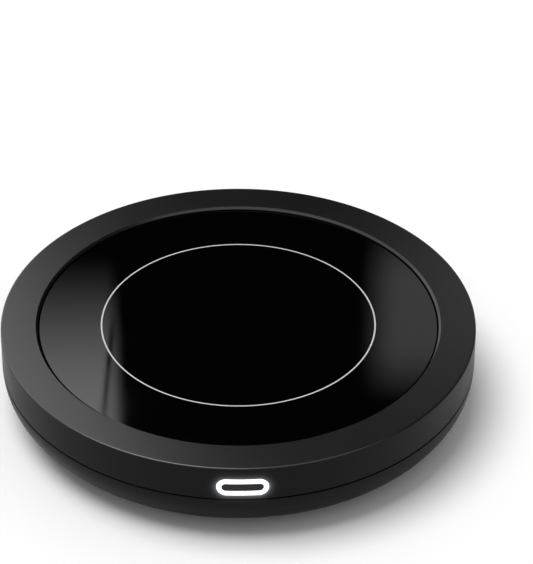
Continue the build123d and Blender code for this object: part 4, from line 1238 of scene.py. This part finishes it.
def screw(head_height, length, washer=None):
    """A screw that stands on its head: the head hangs below the origin, the shank points up."""
    head = rounded_outline([
        (0, -head_height, 0), (screw_head_radius * 0.55, -head_height, screw_head_radius * 0.25),
        (screw_head_radius, -head_height * 0.45, head_height * 0.2), (screw_head_radius, 0, 0.05 * mm),
        (0, 0, 0)])
    recess = placed(cross_cutter(), Matrix.Translation((0, 0, -head_height)) @ UPSIDE_DOWN)
    core = screw_radius * CORE_SHARE
    shank = rounded_outline([(0, -0.1 * mm, 0), (core, -0.1 * mm, 0), (core, length - core, 0),
                             (core * 0.35, length, 0.1 * mm), (0, length, 0)])
    shapes = [carved(spun(head, SCREW_STEPS), recess), spun(shank, 16), thread(core, length - core)]
    if washer:
        shapes.append(spun(tube_outline(screw_radius, washer[0], 0, washer[1], 0.12 * mm), SCREW_STEPS))
    return joined(shapes)

# %% All the screws
washer = (3.5 * mm, 0.8 * mm)
ear_spots = round_places(guide_circle, (0, 90, 180, 270))
clamp_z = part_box("clamp_plate")[0].z
parts_z = board_z + 1.6 * mm
for name, shape, spots, z, turn in (
        ("housing", screw(1.9 * mm, 10.5 * mm), boss_spots, seat_z, Matrix()),
        ("carrier", screw(1.4 * mm, 7.8 * mm, washer), guide_spots, ledge_z - washer[1], Matrix()),
        ("clamp", screw(1.4 * mm, 2.4 * mm), ear_spots, clamp_z, Matrix()),
        ("board", screw(1.9 * mm, 3.4 * mm), board_spots, parts_z, UPSIDE_DOWN)):
    make_piece(name + "_screw_set", set_of(shape, spots, z, turn), name + "_screws")

# %% [markdown]
# ## Springs and leads
# The springs are real coils: a round wire spun with a rise for each step, with a closed turn at each end.
# Springs and leads reach from the fixed base to the moving plate, so they are attached to neither body.

# %% Return springs and leads
LEAD_CUTS = 12


def coil(mean_radius, wire_radius, high, active_turns):
    """A helical spring from the origin up, whose first and last turns rise only by the wire."""
    shape = bmesh.new()
    bmesh.ops.create_circle(shape, segments=10, radius=wire_radius)
    placed(shape, Matrix.Translation((mean_radius, 0, wire_radius)) @ Matrix.Rotation(pi / 2, 4, "X"))
    bmesh.ops.contextual_create(shape, geom=shape.edges)
    end_rise = 2 * wire_radius
    rise = high - 2 * wire_radius
    section = list(shape.verts) + list(shape.edges)
    for turns, climb in ((1, end_rise), (active_turns, rise - 2 * end_rise), (1, end_rise)):
        steps = round(28 * turns)
        made = bmesh.ops.spin(shape, geom=section, cent=(0, 0, 0), axis=(0, 0, 1),
                              dvec=(0, 0, climb / steps), angle=2 * pi * turns, steps=steps)
        section = kept(made["geom_last"], (bmesh.types.BMVert, bmesh.types.BMEdge))
    bmesh.ops.contextual_create(shape, geom=kept(section, bmesh.types.BMEdge))
    return outward(shape)


def lead(spot, radius, low, high, core_radius):
    """An upright insulated wire with bare ends, cut into rings along its length."""
    bare = 0.9 * mm
    heights = [low + bare + (high - low - 2 * bare) * step / LEAD_CUTS for step in range(LEAD_CUTS + 1)]
    outline = ([Vector((0, low)), Vector((core_radius, low)), Vector((core_radius, low + bare))]
               + [Vector((radius, z)) for z in heights]
               + [Vector((core_radius, high - bare)), Vector((core_radius, high)), Vector((0, high))])
    return spun(outline, 20, spot)


spring_low, spring_high = (corner.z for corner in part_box("return_springs"))
spring_radius, spring_wire_radius, spring_turns = 3.3 * mm, 0.35 * mm, 3.5
spring = coil(spring_radius, spring_wire_radius, spring_high - spring_low, spring_turns)
make_piece("spring_set", set_of(spring, guide_spots, spring_low), "return_springs",
           spans=(spring_low, spring_high))
for name, node, pitch, radius in (("heater_wires", "heater_leads", 4.0 * mm, 0.8 * mm),
                                  ("sensor_wires", "sensor_leads", 1.4 * mm, 0.4 * mm)):
    low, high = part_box(node)
    middle_x, middle_y = (low.x + high.x) / 2, (low.y + high.y) / 2
    wires = [lead((middle_x + side * pitch / 2, middle_y), radius, low.z, high.z, radius * 0.6)
             for side in (-1, 1)]
    make_piece(name, joined(wires), node, spans=(low.z, high.z))
